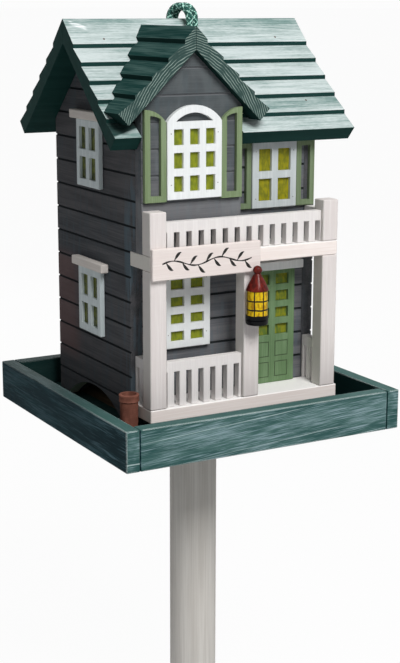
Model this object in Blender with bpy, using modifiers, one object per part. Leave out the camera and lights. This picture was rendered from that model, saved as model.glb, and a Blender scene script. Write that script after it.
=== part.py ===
"""Cottage seed feeder on a pole: a timber house with a porch, a balcony, a gabled bay and a
lift-off lap roof, standing in a seed tray that a flange carries on a round pole.

Metres, +Z up, the front faces -Y, the pole's foot is at the origin.
"""
import math

import bmesh
import bpy
from mathutils import Matrix, Vector

# Clearances
GAP = 0.0003
ROOF_PLAY = 0.0010
OVERCUT = 0.0040
EASE = 0.0007
WELD = 0.00001

# Facets of the round pieces and arcs
POLE_STEPS = 48
SCREW_STEPS = 16
HEAD_STEPS = 3
LANTERN_STEPS = 32
BALL_STEPS = 7
POT_STEPS = 28
POT_CURVE_STEPS = 5
PORT_STEPS = 20
ARCH_STEPS = 16
SHOULDER_STEPS = 12
SLOT_STEPS = 8
CORD_QUARTER_STEPS = 5
CORD_LEG_STEPS = 2

# Pole and flange
POLE_DIAMETER = 0.0510
POLE_LENGTH = 0.4000
COLLAR_WALL = 0.0045
COLLAR_HEIGHT = 0.0380
FLANGE_DIAMETER = 0.1040
FLANGE_PLATE = 0.0040
SCREW_COUNT = 4
SCREW_CIRCLE = 0.0410
SCREW_SHANK = 0.0045
SCREW_HEAD = 0.0090
SCREW_HEAD_RISE = 0.0030
SCREW_LENGTH = 0.0100

# Tray
TRAY_WIDTH = 0.3160
TRAY_DEPTH = 0.3120
TRAY_HEIGHT = 0.0412
TRAY_WALL = 0.0145
FLOOR_THICK = 0.0125

# House
HOUSE_WIDTH = 0.2150
HOUSE_DEPTH = 0.1740
PORCH_DEPTH = 0.0430
WALL = 0.0127
PORT_RADIUS = 0.1050
PORT_TOP = 0.0265
RAMP_THICK = 0.0060
RAMP_RISE = 0.0400
RAMP_TOE = 0.0060

# Grooved siding
GROOVE_PITCH = 0.0254
GROOVE_FIRST = 0.0161
GROOVE_WIDTH = 0.0024
GROOVE_DEPTH = 0.0015

# Main roof
RIDGE_RISE = 0.4166
ROOF_LENGTH = 0.2727
ROOF_THICK = 0.0165
ROOF_LAPS = 6
FIRST_RUN = 0.0244
FIRST_DROP = 0.0240
LAP_RUN = 0.0184
LAP_DROP = 0.0169
LIP = 0.0041
CLEAT_THICK = 0.0100
CLEAT_HALF_LENGTH = 0.0480
CLEAT_DEPTH = 0.0620

# Bay and dormer
BAY_WIDTH = 0.1104
DORMER_DROP = 0.0059
DORMER_OVERHANG = 0.0083
DORMER_THICK = 0.0155
DORMER_LAPS = 5
DORMER_FIRST_RUN = 0.0122
DORMER_FIRST_DROP = 0.0121
DORMER_LAP_RUN = 0.0177
DORMER_LAP_DROP = 0.0169
NOTCH_PLAY = 0.0008

# Porch and balcony
PORCH_RISE = 0.0424
PORCH_BOARD = 0.0130
PORCH_PROUD = 0.0040
RISER_THICK = 0.0120
RISER_SETBACK = 0.0180
RISER_INSET = 0.0150
DECK_RISE = 0.1951
DECK_THICK = 0.0145
SIDE_PROUD = 0.0015
POST_WIDTH = 0.0180
POST_DEPTH = 0.0166
BALCONY_POST = 0.0423
MIDDLE_POST_X = 0.0068
RAIL_THICK = 0.0080
RAIL_SETBACK = 0.0040
BALCONY_RAIL = 0.0318
PORCH_RAIL = 0.0460
RAIL_CAP = 0.0103
SLOT_PITCH = 0.0136
SLOT_WIDTH = 0.0061
SLOT_START = 0.0038

# Windows, door and trim
FRAME_THICK = 0.0052
POCKET_DEPTH = 0.0036
WINDOW_WIDTH = 0.0530
WINDOW_HEIGHT = 0.0680
WINDOW_ROWS = 2
WINDOW_COLUMNS = 2
STILE = 0.0075
BAR = 0.0075
LINTEL_LENGTH = 0.0720
LINTEL_HEIGHT = 0.0088
LINTEL_PROUD = 0.0085
SIDE_WINDOW_SHIFT = -0.0030
LOWER_SIDE_SILL = 0.0968
UPPER_SIDE_DROP = 0.1676
LOWER_WINDOW_X = -0.0460
LOWER_WINDOW_SILL = 0.0922
LOWER_WINDOW_HEIGHT = 0.0780
LOWER_WINDOW_ROWS = 4
UPPER_WINDOW_X = 0.0556
UPPER_WINDOW_LIFT = 0.0326
UPPER_WINDOW_DROP = 0.1209
BAY_WINDOW_WIDTH = 0.0600
BAY_WINDOW_LIFT = 0.0519
BAY_WINDOW_DROP = 0.0892
BAY_WINDOW_RADIUS = 0.0369
BAY_WINDOW_BAR = 0.0072
BAY_WINDOW_ROWS = 3
BAY_WINDOW_COLUMNS = 3
SHUTTER_THICK = 0.0042
SHUTTER_FRAME = 0.0060
BAY_SHUTTER_WIDTH = 0.0233
BAY_SHUTTER_LIFT = 0.0501
BAY_SHUTTER_DROP = 0.0770
BAY_SHUTTER_RADIUS = 0.0275
SHUTTER_WIDTH = 0.0225
SHUTTER_GAP = 0.0004
DOOR_X = 0.0548
DOOR_WIDTH = 0.0540
DOOR_HEIGHT = 0.1200
DOOR_COLUMNS = 2
DOOR_LIGHT = 0.0118
DOOR_LIGHT_ROWS = 4
DOOR_PANEL = 0.0158
DOOR_PANEL_ROWS = 2
DOOR_PANEL_DEPTH = 0.0012

# Sign, lantern, pot and cord
SIGN_LENGTH = 0.1210
SIGN_HEIGHT = 0.0310
SIGN_THICK = 0.0050
SIGN_DROP = 0.0080
LANTERN_RADIUS = 0.0112
LANTERN_BASE = 0.0098
LANTERN_BODY = 0.0245
LANTERN_CONE = 0.0171
LANTERN_NECK = 0.0030
LANTERN_BALL = 0.0045
LANTERN_REBATE = 0.0008
LANTERN_EDGE = 0.0012
LANTERN_FLAT = 0.0012
LANTERN_RISE = 0.1199
POT_RADIUS = 0.0102
POT_SHOULDER = 0.0097
POT_FOOT = 0.0073
POT_HEIGHT = 0.0430
POT_RIM = 0.0070
POT_WALL = 0.0022
POT_OFFSET = 0.0070
POT_SETBACK = 0.0255
CORD_DIAMETER = 0.0080
CORD_TURNS = 2
CORD_TURN_PITCH = 0.0086
CORD_HOLE_PLAY = 0.0006
CORD_HALF_SPAN = 0.0130
CORD_X = -0.0018
CORD_ABOVE_RIDGE = 0.0125
CORD_BELOW_ROOF = 0.0050
CORD_SKEW = math.radians(23.0)

# Levels worked out from the sizes above
TRAY_BASE = POLE_LENGTH + GAP + FLANGE_PLATE + GAP
FLOOR_TOP = TRAY_BASE + FLOOR_THICK
PORCH_TOP = TRAY_BASE + PORCH_RISE
DECK_TOP = TRAY_BASE + DECK_RISE
RIDGE_Z = TRAY_BASE + RIDGE_RISE
DORMER_Z = RIDGE_Z - DORMER_DROP

# The upper storey's windows and shutters, held between the deck and the roof over them
UPPER_SIDE_SILL = RIDGE_Z - UPPER_SIDE_DROP
UPPER_WINDOW_SILL = DECK_TOP + UPPER_WINDOW_LIFT
UPPER_WINDOW_HEIGHT = RIDGE_Z - UPPER_WINDOW_DROP - UPPER_WINDOW_SILL
BAY_WINDOW_SILL = DECK_TOP + BAY_WINDOW_LIFT
BAY_WINDOW_SPRING = DORMER_Z - BAY_WINDOW_DROP - BAY_WINDOW_SILL
BAY_SHUTTER_SILL = DECK_TOP + BAY_SHUTTER_LIFT
BAY_SHUTTER_HEIGHT = DORMER_Z - BAY_SHUTTER_DROP - BAY_SHUTTER_SILL

# Plan lines worked out from the sizes above
HOUSE_BACK = (HOUSE_DEPTH + PORCH_DEPTH) / 2
HOUSE_FRONT = HOUSE_BACK - HOUSE_DEPTH
PORCH_FRONT = HOUSE_FRONT - PORCH_DEPTH
HOUSE_RIGHT = HOUSE_WIDTH / 2
HOUSE_LEFT = -HOUSE_RIGHT
RIDGE_Y = (HOUSE_BACK + HOUSE_FRONT) / 2
BAY_FRONT = PORCH_FRONT + POST_DEPTH + GAP
BAY_LEFT = HOUSE_LEFT
BAY_RIGHT = BAY_LEFT + BAY_WIDTH
BAY_X = (BAY_LEFT + BAY_RIGHT) / 2
DORMER_FRONT = BAY_FRONT - DORMER_OVERHANG
PORCH_RIGHT = HOUSE_RIGHT + SIDE_PROUD
TROUGH_X = (HOUSE_LEFT - TRAY_WIDTH / 2 + TRAY_WALL) / 2
POT_X = TROUGH_X + POT_OFFSET
POT_Y = PORCH_FRONT + POT_SETBACK
EAVE_OUT = FIRST_RUN + (ROOF_LAPS - 1) * LAP_RUN
ROOF_SLOPE = math.atan2(LAP_DROP, LAP_RUN)
DORMER_SLOPE = math.atan2(DORMER_LAP_DROP, DORMER_LAP_RUN)

# Colours and finish: linear RGB, roughness, metallic
PAINTED_GREY = ((0.105, 0.115, 0.125), 0.75, 0.0)
ROOF_TEAL = ((0.420, 0.530, 0.510), 0.70, 0.0)
DORMER_GREEN = ((0.085, 0.150, 0.140), 0.70, 0.0)
TRAY_TEAL = ((0.120, 0.210, 0.210), 0.70, 0.0)
TRIM_GREY = ((0.600, 0.590, 0.570), 0.65, 0.0)
WHITE_PAINT = ((0.720, 0.740, 0.720), 0.60, 0.0)
SAGE_GREEN = ((0.290, 0.350, 0.180), 0.60, 0.0)
DOOR_GREEN = ((0.210, 0.330, 0.160), 0.60, 0.0)
BARE_WOOD = ((0.480, 0.340, 0.200), 0.80, 0.0)
POLE_GREY = ((0.400, 0.390, 0.350), 0.45, 0.0)
ZINC = ((0.560, 0.570, 0.580), 0.35, 1.0)
LANTERN_RED = ((0.420, 0.050, 0.030), 0.50, 0.0)
TERRACOTTA = ((0.300, 0.090, 0.055), 0.80, 0.0)
CORD_GREEN = ((0.030, 0.130, 0.100), 0.90, 0.0)

# Frames that turn a flat outline's plane square to an axis
PLANES = {
    "X": Matrix(((0, 0, 1, 0), (1, 0, 0, 0), (0, 1, 0, 0), (0, 0, 0, 1))),
    "Y": Matrix(((1, 0, 0, 0), (0, 0, 1, 0), (0, 1, 0, 0), (0, 0, 0, 1))),
    "Z": Matrix.Identity(4),
}


# Scene and materials

def clear_scene():
    for item in list(bpy.data.objects):
        bpy.data.objects.remove(item, do_unlink=True)


def new_collection(name):
    group = bpy.data.collections.new(name)
    bpy.context.scene.collection.children.link(group)
    return group


def new_material(name, finish):
    colour, roughness, metallic = finish
    material = bpy.data.materials.new(name)
    material.use_nodes = True
    shader = material.node_tree.nodes["Principled BSDF"]
    shader.inputs["Base Color"].default_value = (*colour, 1.0)
    shader.inputs["Roughness"].default_value = roughness
    shader.inputs["Metallic"].default_value = metallic
    material.diffuse_color = (*colour, 1.0)
    return material


clear_scene()
PARTS = new_collection("pole_bird_feeder")
CUTTERS = new_collection("cutters")


# Basic shapes

def add_piece(name, mesh, finish):
    """A finished sub-part: a named object with its own material."""
    piece = bpy.data.objects.new(name, mesh)
    PARTS.objects.link(piece)
    mesh.materials.append(new_material(name, finish))
    return piece


def add_cutter(name, mesh):
    tool = bpy.data.objects.new(name, mesh)
    CUTTERS.objects.link(tool)
    tool.hide_render = True
    tool.display_type = "WIRE"
    return tool


def mesh_from(shape, name):
    bmesh.ops.recalc_face_normals(shape, faces=shape.faces)
    mesh = bpy.data.meshes.new(name)
    shape.to_mesh(mesh)
    shape.free()
    return mesh


def add_box(shape, low, high):
    """A box between two corners, added to a bmesh."""
    low, high = Vector(low), Vector(high)
    size = high - low
    place = Matrix.Translation((low + high) / 2) @ Matrix.Diagonal((*size, 1.0))
    bmesh.ops.create_cube(shape, size=1.0, matrix=place)


def outline_curve(name, outlines, thickness):
    """Closed outlines as one filled 2D curve of an even thickness."""
    curve = bpy.data.curves.new(name, "CURVE")
    curve.dimensions = "2D"
    curve.fill_mode = "BOTH"
    curve.extrude = thickness / 2
    for outline in outlines:
        line = curve.splines.new("POLY")
        line.points.add(len(outline) - 1)
        line.use_cyclic_u = True
        line.use_smooth = False
        for target, (a, b) in zip(line.points, outline):
            target.co = (a, b, 0.0, 1.0)
    return curve


def drawn_out(name, outlines, axis, start, end):
    """A closed mesh of flat outlines, square to an axis and drawn out from start to end."""
    curve = outline_curve(name, outlines, abs(end - start))
    pattern = bpy.data.objects.new(name, curve)
    CUTTERS.objects.link(pattern)
    evaluated = pattern.evaluated_get(bpy.context.evaluated_depsgraph_get())
    filled = bpy.data.meshes.new_from_object(evaluated)
    shape = bmesh.new()
    shape.from_mesh(filled)
    bpy.data.meshes.remove(filled)
    bpy.data.objects.remove(pattern)
    bpy.data.curves.remove(curve)
    bmesh.ops.remove_doubles(shape, verts=shape.verts, dist=WELD)
    place = PLANES[axis] @ Matrix.Translation((0.0, 0.0, (start + end) / 2))
    bmesh.ops.transform(shape, matrix=place, verts=shape.verts)
    return mesh_from(shape, name)


def board(name, low, high, finish, ease=EASE):
    """A sawn board with lightly eased edges."""
    shape = bmesh.new()
    add_box(shape, low, high)
    if ease:
        bmesh.ops.bevel(shape, geom=list(shape.edges), offset=ease, segments=1,
                        affect="EDGES", profile=0.5)
    return add_piece(name, mesh_from(shape, name), finish)


def prism(name, outline, axis, start, end, finish):
    """A board of one outline and an even thickness."""
    return add_piece(name, drawn_out(name, [outline], axis, start, end), finish)


def box_cutter(name, boxes):
    shape = bmesh.new()
    for low, high in boxes:
        add_box(shape, low, high)
    return add_cutter(name, mesh_from(shape, name))


def prism_cutter(name, outlines, axis, start, end):
    return add_cutter(name, drawn_out(name, outlines, axis, start, end))


def bore_cutter(name, places, radius, low, high):
    """Upright round holes of one radius, at places in plan."""
    shape = bmesh.new()
    for x, y in places:
        middle = Matrix.Translation((x, y, (low + high) / 2))
        bmesh.ops.create_cone(shape, cap_ends=True, segments=SCREW_STEPS, matrix=middle,
                              radius1=radius, radius2=radius, depth=high - low)
    return add_cutter(name, mesh_from(shape, name))


def cut(piece, tool):
    step = piece.modifiers.new("cut_" + tool.name, "BOOLEAN")
    step.operation = "DIFFERENCE"
    step.solver = "EXACT"
    step.object = tool


def turned(name, profile, steps, place, finish):
    """A turned piece: radius and height pairs, top to bottom, swept round a vertical axis."""
    mesh = bpy.data.meshes.new(name)
    points = [(radius, 0.0, height) for radius, height in profile]
    mesh.from_pydata(points, [(i, i + 1) for i in range(len(points) - 1)], [])
    piece = add_piece(name, mesh, finish)
    piece.location = place
    sweep = piece.modifiers.new("turn", "SCREW")
    sweep.axis = "Z"
    sweep.angle = math.tau
    sweep.steps = steps
    sweep.render_steps = steps
    sweep.use_merge_vertices = True
    sweep.merge_threshold = WELD
    sweep.use_smooth_shade = True
    return piece


def arc(centre, radius, start, end, steps):
    """Points on an arc, angles in radians from the first axis."""
    angles = [start + (end - start) * i / steps for i in range(steps + 1)]
    return [(centre[0] + radius * math.cos(a), centre[1] + radius * math.sin(a)) for a in angles]


# Pole, flange and screws

def make_pole():
    """A round timber pole with eased ends."""
    radius = POLE_DIAMETER / 2
    profile = [(0.0, POLE_LENGTH), (radius - EASE, POLE_LENGTH), (radius, POLE_LENGTH - EASE),
               (radius, EASE), (radius - EASE, 0.0), (0.0, 0.0)]
    turned("pole", profile, POLE_STEPS, (0.0, 0.0, 0.0), POLE_GREY)


def make_flange():
    """A floor flange: a collar over the pole's end under a round plate."""
    inner = POLE_DIAMETER / 2 + GAP
    outer = inner + COLLAR_WALL
    plate = FLANGE_DIAMETER / 2
    under = POLE_LENGTH + GAP
    top = under + FLANGE_PLATE
    profile = [(0.0, top), (plate, top), (plate, under), (outer, under),
               (outer, under - COLLAR_HEIGHT), (inner, under - COLLAR_HEIGHT),
               (inner, under), (0.0, under)]
    flange = turned("pole_flange", profile, POLE_STEPS, (0.0, 0.0, 0.0), ZINC)
    cut(flange, bore_cutter("flange_holes", screw_places(), SCREW_SHANK / 2 + GAP,
                            under - OVERCUT, top + OVERCUT))


def screw_places():
    turn = math.tau / SCREW_COUNT
    angles = [turn * (i + 0.5) for i in range(SCREW_COUNT)]
    return [(SCREW_CIRCLE * math.cos(angle), SCREW_CIRCLE * math.sin(angle)) for angle in angles]


def make_screws():
    """Domed screws up through the flange into the tray floor."""
    shank = SCREW_SHANK / 2
    seat = POLE_LENGTH
    tip = seat + SCREW_LENGTH
    profile = [(0.0, tip), (shank, tip - shank), (shank, seat)]
    for i in range(HEAD_STEPS + 1):
        angle = math.pi / 2 * i / HEAD_STEPS
        profile.append((SCREW_HEAD / 2 * math.cos(angle), seat - SCREW_HEAD_RISE * math.sin(angle)))
    for i, (x, y) in enumerate(screw_places()):
        turned("flange_screw_%d" % (i + 1), profile, SCREW_STEPS, (x, y, 0.0), ZINC)


# Tray

def make_tray():
    """Side boards run the full depth; front and back boards butt between them."""
    half_x, half_y = TRAY_WIDTH / 2, TRAY_DEPTH / 2
    top = TRAY_BASE + TRAY_HEIGHT
    inner_x, inner_y = half_x - TRAY_WALL, half_y - TRAY_WALL
    board("tray_wall_left", (-half_x, -half_y, TRAY_BASE), (-inner_x, half_y, top), TRAY_TEAL)
    board("tray_wall_right", (inner_x, -half_y, TRAY_BASE), (half_x, half_y, top), TRAY_TEAL)
    butt = inner_x - GAP
    board("tray_wall_front", (-butt, -half_y, TRAY_BASE), (butt, -inner_y, top), TRAY_TEAL)
    board("tray_wall_back", (-butt, inner_y, TRAY_BASE), (butt, half_y, top), TRAY_TEAL)
    side = inner_y - GAP
    floor = board("tray_floor", (-butt, -side, TRAY_BASE), (butt, side, FLOOR_TOP), TRAY_TEAL)
    cut(floor, bore_cutter("floor_pilots", screw_places(), SCREW_SHANK / 2 + GAP,
                           TRAY_BASE - OVERCUT, POLE_LENGTH + SCREW_LENGTH + GAP))


# Roof profiles

def lap_top(first_run, first_drop, run, drop, laps):
    """The lapped upper face from the ridge down: run outwards and height below the ridge."""
    points = [(0.0, 0.0)]
    for i in range(laps):
        out, down = first_run + i * run, first_drop + i * drop
        points.append((out, -down))
        if i < laps - 1:
            points.append((out, -down - LIP))
    return points


def roof_section(first_run, first_drop, run, drop, laps, thick, slope):
    """The whole board's section: lapped above, flat below, square cut at the eave."""
    top = lap_top(first_run, first_drop, run, drop, laps)
    eave = top[-1]
    foot = (eave[0] - thick * math.sin(slope), eave[1] - thick * math.cos(slope))
    under_ridge = (0.0, foot[1] + foot[0] * math.tan(slope))
    return top + [foot, under_ridge], under_ridge[1]


MAIN_SECTION, MAIN_SOFFIT = roof_section(FIRST_RUN, FIRST_DROP, LAP_RUN, LAP_DROP, ROOF_LAPS,
                                         ROOF_THICK, ROOF_SLOPE)
DORMER_SECTION, DORMER_SOFFIT = roof_section(DORMER_FIRST_RUN, DORMER_FIRST_DROP, DORMER_LAP_RUN,
                                             DORMER_LAP_DROP, DORMER_LAPS, DORMER_THICK,
                                             DORMER_SLOPE)


def main_soffit(y):
    """Height of the main roof's flat underside over a line at y."""
    return RIDGE_Z + MAIN_SOFFIT - abs(y - RIDGE_Y) * math.tan(ROOF_SLOPE)


def dormer_soffit(x):
    return DORMER_Z + DORMER_SOFFIT - abs(x - BAY_X) * math.tan(DORMER_SLOPE)


def place_section(section, centre, side, height):
    """Puts a section to one side of its ridge line, with half a gap at the ridge mitre."""
    placed = []
    for out, rise in section:
        reach = max(out, GAP / 2)
        placed.append((centre + side * reach, height + rise))
    return placed


# House walls

def groove_outlines(face, outward, lowest, highest):
    """V grooves at the siding's pitch: each a triangle that bites into a wall's face."""
    outlines = []
    root, mouth = face - outward * GROOVE_DEPTH, face + outward * GROOVE_DEPTH
    level = TRAY_BASE + GROOVE_FIRST
    while level < highest:
        if level > lowest:
            outlines.append([(root, level), (mouth, level - GROOVE_WIDTH),
                             (mouth, level + GROOVE_WIDTH)])
        level += GROOVE_PITCH
    return outlines


def port_outline():
    """The arched opening along the foot of a side wall, over the floor."""
    centre = (RIDGE_Y, FLOOR_TOP + PORT_TOP - PORT_RADIUS)
    low = FLOOR_TOP - OVERCUT
    reach = math.acos((low - centre[1]) / PORT_RADIUS)
    return arc(centre, PORT_RADIUS, math.pi / 2 - reach, math.pi / 2 + reach, PORT_STEPS)


def make_side_wall(name, outer, inward):
    """A gable wall of grooved siding with the seed port along its foot."""
    foot = FLOOR_TOP + GAP
    tilt = GAP / math.cos(ROOF_SLOPE)
    outline = [(HOUSE_FRONT, foot), (HOUSE_BACK, foot),
               (HOUSE_BACK, main_soffit(HOUSE_BACK) - tilt), (RIDGE_Y, main_soffit(RIDGE_Y) - tilt),
               (HOUSE_FRONT, main_soffit(HOUSE_FRONT) - tilt)]
    wall = prism(name, outline, "X", outer, outer + inward * WALL, PAINTED_GREY)
    grooves = groove_outlines(outer, -inward, foot + GROOVE_WIDTH, main_soffit(RIDGE_Y))
    cut(wall, prism_cutter(name + "_grooves", grooves, "Y", HOUSE_FRONT - OVERCUT,
                           HOUSE_BACK + OVERCUT))
    cut(wall, prism_cutter(name + "_port", [port_outline()], "X", outer - inward * OVERCUT,
                           outer + inward * (WALL + OVERCUT)))


def make_cross_wall(name, outer, inward):
    """The front or back wall, housed between the side walls under the slope of the roof."""
    foot = FLOOR_TOP + GAP
    tilt = GAP / math.cos(ROOF_SLOPE)
    inner = outer + inward * WALL
    reach = HOUSE_RIGHT - WALL - GAP
    outline = [(outer, foot), (inner, foot), (inner, main_soffit(inner) - tilt),
               (outer, main_soffit(outer) - tilt)]
    wall = prism(name, outline, "X", -reach, reach, PAINTED_GREY)
    grooves = groove_outlines(outer, -inward, foot + GROOVE_WIDTH, main_soffit(outer) - GROOVE_WIDTH)
    cut(wall, prism_cutter(name + "_grooves", grooves, "X", -reach - OVERCUT, reach + OVERCUT))


def make_walls():
    make_side_wall("wall_left", HOUSE_LEFT, 1.0)
    make_side_wall("wall_right", HOUSE_RIGHT, -1.0)
    make_cross_wall("wall_front", HOUSE_FRONT, 1.0)
    make_cross_wall("wall_back", HOUSE_BACK, -1.0)


def make_ramps():
    """Two boards inside that shed the seed to the ports on either side."""
    foot = FLOOR_TOP + GAP
    reach = HOUSE_RIGHT - WALL - RAMP_TOE
    front, back = HOUSE_FRONT + WALL + GAP, HOUSE_BACK - WALL - GAP
    slope = math.atan2(RAMP_RISE, reach)
    depth = RAMP_THICK / math.cos(slope)
    for name, side in (("seed_ramp_left", -1.0), ("seed_ramp_right", 1.0)):
        middle = side * GAP / 2
        outline = [(side * reach, foot), (middle, foot + RAMP_RISE),
                   (middle, foot + RAMP_RISE - depth),
                   (side * (reach - depth / math.tan(slope)), foot)]
        prism(name, outline, "Y", front, back, BARE_WOOD)


# Bay under the dormer

def make_bay():
    """A grooved panel with a gable top on two cheek strips, standing on the balcony deck."""
    foot = DECK_TOP + GAP
    tilt = GAP / math.cos(DORMER_SLOPE)
    back = BAY_FRONT + WALL
    outline = [(BAY_LEFT, foot), (BAY_RIGHT, foot), (BAY_RIGHT, dormer_soffit(BAY_RIGHT) - tilt),
               (BAY_X, dormer_soffit(BAY_X) - tilt), (BAY_LEFT, dormer_soffit(BAY_LEFT) - tilt)]
    panel = prism("bay_front", outline, "Y", BAY_FRONT, back, PAINTED_GREY)
    grooves = groove_outlines(BAY_FRONT, -1.0, foot + GROOVE_WIDTH, dormer_soffit(BAY_X))
    cut(panel, prism_cutter("bay_front_grooves", grooves, "X", BAY_LEFT - OVERCUT,
                            BAY_RIGHT + OVERCUT))
    for name, outer, inward in (("bay_cheek_left", BAY_LEFT, 1.0),
                                ("bay_cheek_right", BAY_RIGHT, -1.0)):
        inner = outer + inward * WALL
        cheek = [(outer, foot), (inner, foot), (inner, dormer_soffit(inner) - tilt),
                 (outer, dormer_soffit(outer) - tilt)]
        strip = prism(name, cheek, "Y", back + GAP, HOUSE_FRONT - GAP, PAINTED_GREY)
        lines = groove_outlines(outer, -inward, foot + GROOVE_WIDTH,
                                dormer_soffit(outer) - GROOVE_WIDTH)
        cut(strip, prism_cutter(name + "_grooves", lines, "Y", back - OVERCUT,
                                HOUSE_FRONT + OVERCUT))


# Lift-off roof

def notch_box(play):
    """The room that the bay takes out of the front roof board, with play on its three sides."""
    near = RIDGE_Y - EAVE_OUT - OVERCUT
    far = HOUSE_FRONT - GAP + play
    return ((BAY_LEFT - play, near, DECK_TOP), (BAY_RIGHT + play, far, RIDGE_Z + OVERCUT))


def cord_leg_places():
    """Middles of the two openings that the cord's legs go down through."""
    across = Vector((math.sin(CORD_SKEW), -math.cos(CORD_SKEW)))
    middle = Vector((CORD_X, RIDGE_Y))
    return middle + across * CORD_HALF_SPAN, middle - across * CORD_HALF_SPAN


def cord_slot_cutter():
    """Two upright slots, each as wide as the cord and long enough for its turns side by side."""
    radius = CORD_DIAMETER / 2 + CORD_HOLE_PLAY
    half = CORD_TURN_PITCH * (CORD_TURNS - 1) / 2
    slot = arc((half, 0.0), radius, -math.pi / 2, math.pi / 2, SLOT_STEPS)
    slot += arc((-half, 0.0), radius, math.pi / 2, math.pi * 1.5, SLOT_STEPS)
    turn = Matrix.Rotation(CORD_SKEW, 2)
    outlines = [[tuple(place + turn @ Vector(point)) for point in slot]
                for place in cord_leg_places()]
    low = main_soffit(RIDGE_Y + 2 * CORD_HALF_SPAN)
    return prism_cutter("cord_slots", outlines, "Z", low, RIDGE_Z + OVERCUT)


def make_main_roof():
    """Two lapped boards, mitred at the ridge; the front one is notched round the bay."""
    half = ROOF_LENGTH / 2
    slots = cord_slot_cutter()
    front = prism("roof_front", place_section(MAIN_SECTION, RIDGE_Y, -1.0, RIDGE_Z), "X",
                  -half, half, ROOF_TEAL)
    cut(front, box_cutter("bay_notch", [notch_box(NOTCH_PLAY)]))
    cut(front, slots)
    back = prism("roof_back", place_section(MAIN_SECTION, RIDGE_Y, 1.0, RIDGE_Z), "X",
                 -half, half, ROOF_TEAL)
    cut(back, slots)


def make_dormer_roof():
    """Two shorter lapped boards, scribed over the laps of the front slope."""
    half = ROOF_LENGTH / 2
    behind = RIDGE_Y + OVERCUT
    laps = lap_top(FIRST_RUN, FIRST_DROP, LAP_RUN, LAP_DROP, ROOF_LAPS)
    eave = laps[-1][1]
    foot = RIDGE_Y - GAP - EAVE_OUT + (ROOF_THICK + GAP) * math.sin(ROOF_SLOPE)
    seat = [(behind, RIDGE_Z + GAP)]
    seat += [(RIDGE_Y - GAP - out, RIDGE_Z + GAP + rise) for out, rise in laps]
    seat += [(foot, RIDGE_Z + GAP + eave - ROOF_THICK), (foot, DECK_TOP), (behind, DECK_TOP)]
    scribe = prism_cutter("front_slope_seat", [seat], "X", -half - OVERCUT, half + OVERCUT)
    cut(scribe, box_cutter("bay_notch_inner", [notch_box(NOTCH_PLAY - GAP)]))
    for name, side in (("dormer_roof_left", -1.0), ("dormer_roof_right", 1.0)):
        outline = place_section(DORMER_SECTION, BAY_X, side, DORMER_Z)
        slope = prism(name, outline, "Y", DORMER_FRONT, RIDGE_Y, DORMER_GREEN)
        cut(slope, scribe)


def make_cleats():
    """Boards under the ridge, just inside the gables, that keep the roof from sliding off."""
    tilt = GAP / math.cos(ROOF_SLOPE)
    top = main_soffit(RIDGE_Y) - tilt
    side_top = main_soffit(RIDGE_Y + CLEAT_HALF_LENGTH) - tilt
    low = top - CLEAT_DEPTH
    outline = [(RIDGE_Y - CLEAT_HALF_LENGTH, low), (RIDGE_Y + CLEAT_HALF_LENGTH, low),
               (RIDGE_Y + CLEAT_HALF_LENGTH, side_top), (RIDGE_Y, top),
               (RIDGE_Y - CLEAT_HALF_LENGTH, side_top)]
    face = HOUSE_RIGHT - WALL - ROOF_PLAY
    prism("roof_cleat_left", outline, "X", -face, -face + CLEAT_THICK, BARE_WOOD)
    prism("roof_cleat_right", outline, "X", face - CLEAT_THICK, face, BARE_WOOD)


def cord_path():
    """Turns of cord round the ridge: straight legs joined by a half circle above and below.

    Each turn steps sideways only in its lower half circle, under the roof.
    """
    low = main_soffit(RIDGE_Y - CORD_HALF_SPAN) - CORD_BELOW_ROOF
    high = RIDGE_Z + CORD_ABOVE_RIDGE - CORD_HALF_SPAN
    across = Vector((math.sin(CORD_SKEW), -math.cos(CORD_SKEW), 0.0))
    along = Vector((math.cos(CORD_SKEW), math.sin(CORD_SKEW), 0.0))
    quarter, leg = CORD_QUARTER_STEPS, CORD_LEG_STEPS
    right = math.pi / 2
    ring = [(right * (i / quarter - 1), low, 0.5 * (i / quarter - 1)) for i in range(quarter)]
    ring += [(0.0, low + (high - low) * i / leg, 0.0) for i in range(leg)]
    ring += [(right * i / quarter, high, 0.0) for i in range(2 * quarter)]
    ring += [(math.pi, high + (low - high) * i / leg, 0.0) for i in range(leg)]
    ring += [(math.pi + right * i / quarter, low, 0.5 * i / quarter) for i in range(quarter)]
    points = []
    for turn in range(CORD_TURNS):
        for angle, level, step in ring:
            shift = CORD_TURN_PITCH * (turn - (CORD_TURNS - 1) / 2 + step)
            point = Vector((CORD_X, RIDGE_Y, level + CORD_HALF_SPAN * math.sin(angle)))
            points.append(point + across * CORD_HALF_SPAN * math.cos(angle) + along * shift)
    return points, len(ring)


def least_gap(points, turn):
    """Least clear distance between one turn and the next, measured on the path's points."""
    best = min((a - b).length for i, a in enumerate(points) for b in points[i + turn // 2:])
    return best - CORD_DIAMETER


def make_cord():
    points, turn = cord_path()
    print("cord: least gap to itself %.2f mm" % (1000 * least_gap(points, turn)))
    curve = bpy.data.curves.new("lifting_cord", "CURVE")
    curve.dimensions = "3D"
    curve.bevel_depth = CORD_DIAMETER / 2
    curve.bevel_resolution = 1
    curve.use_fill_caps = True
    line = curve.splines.new("POLY")
    line.points.add(len(points) - 1)
    for target, point in zip(line.points, points):
        target.co = (*point, 1.0)
    cord = bpy.data.objects.new("lifting_cord", curve)
    PARTS.objects.link(cord)
    curve.materials.append(new_material("lifting_cord", CORD_GREEN))


# Porch, balcony, posts and rails

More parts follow.
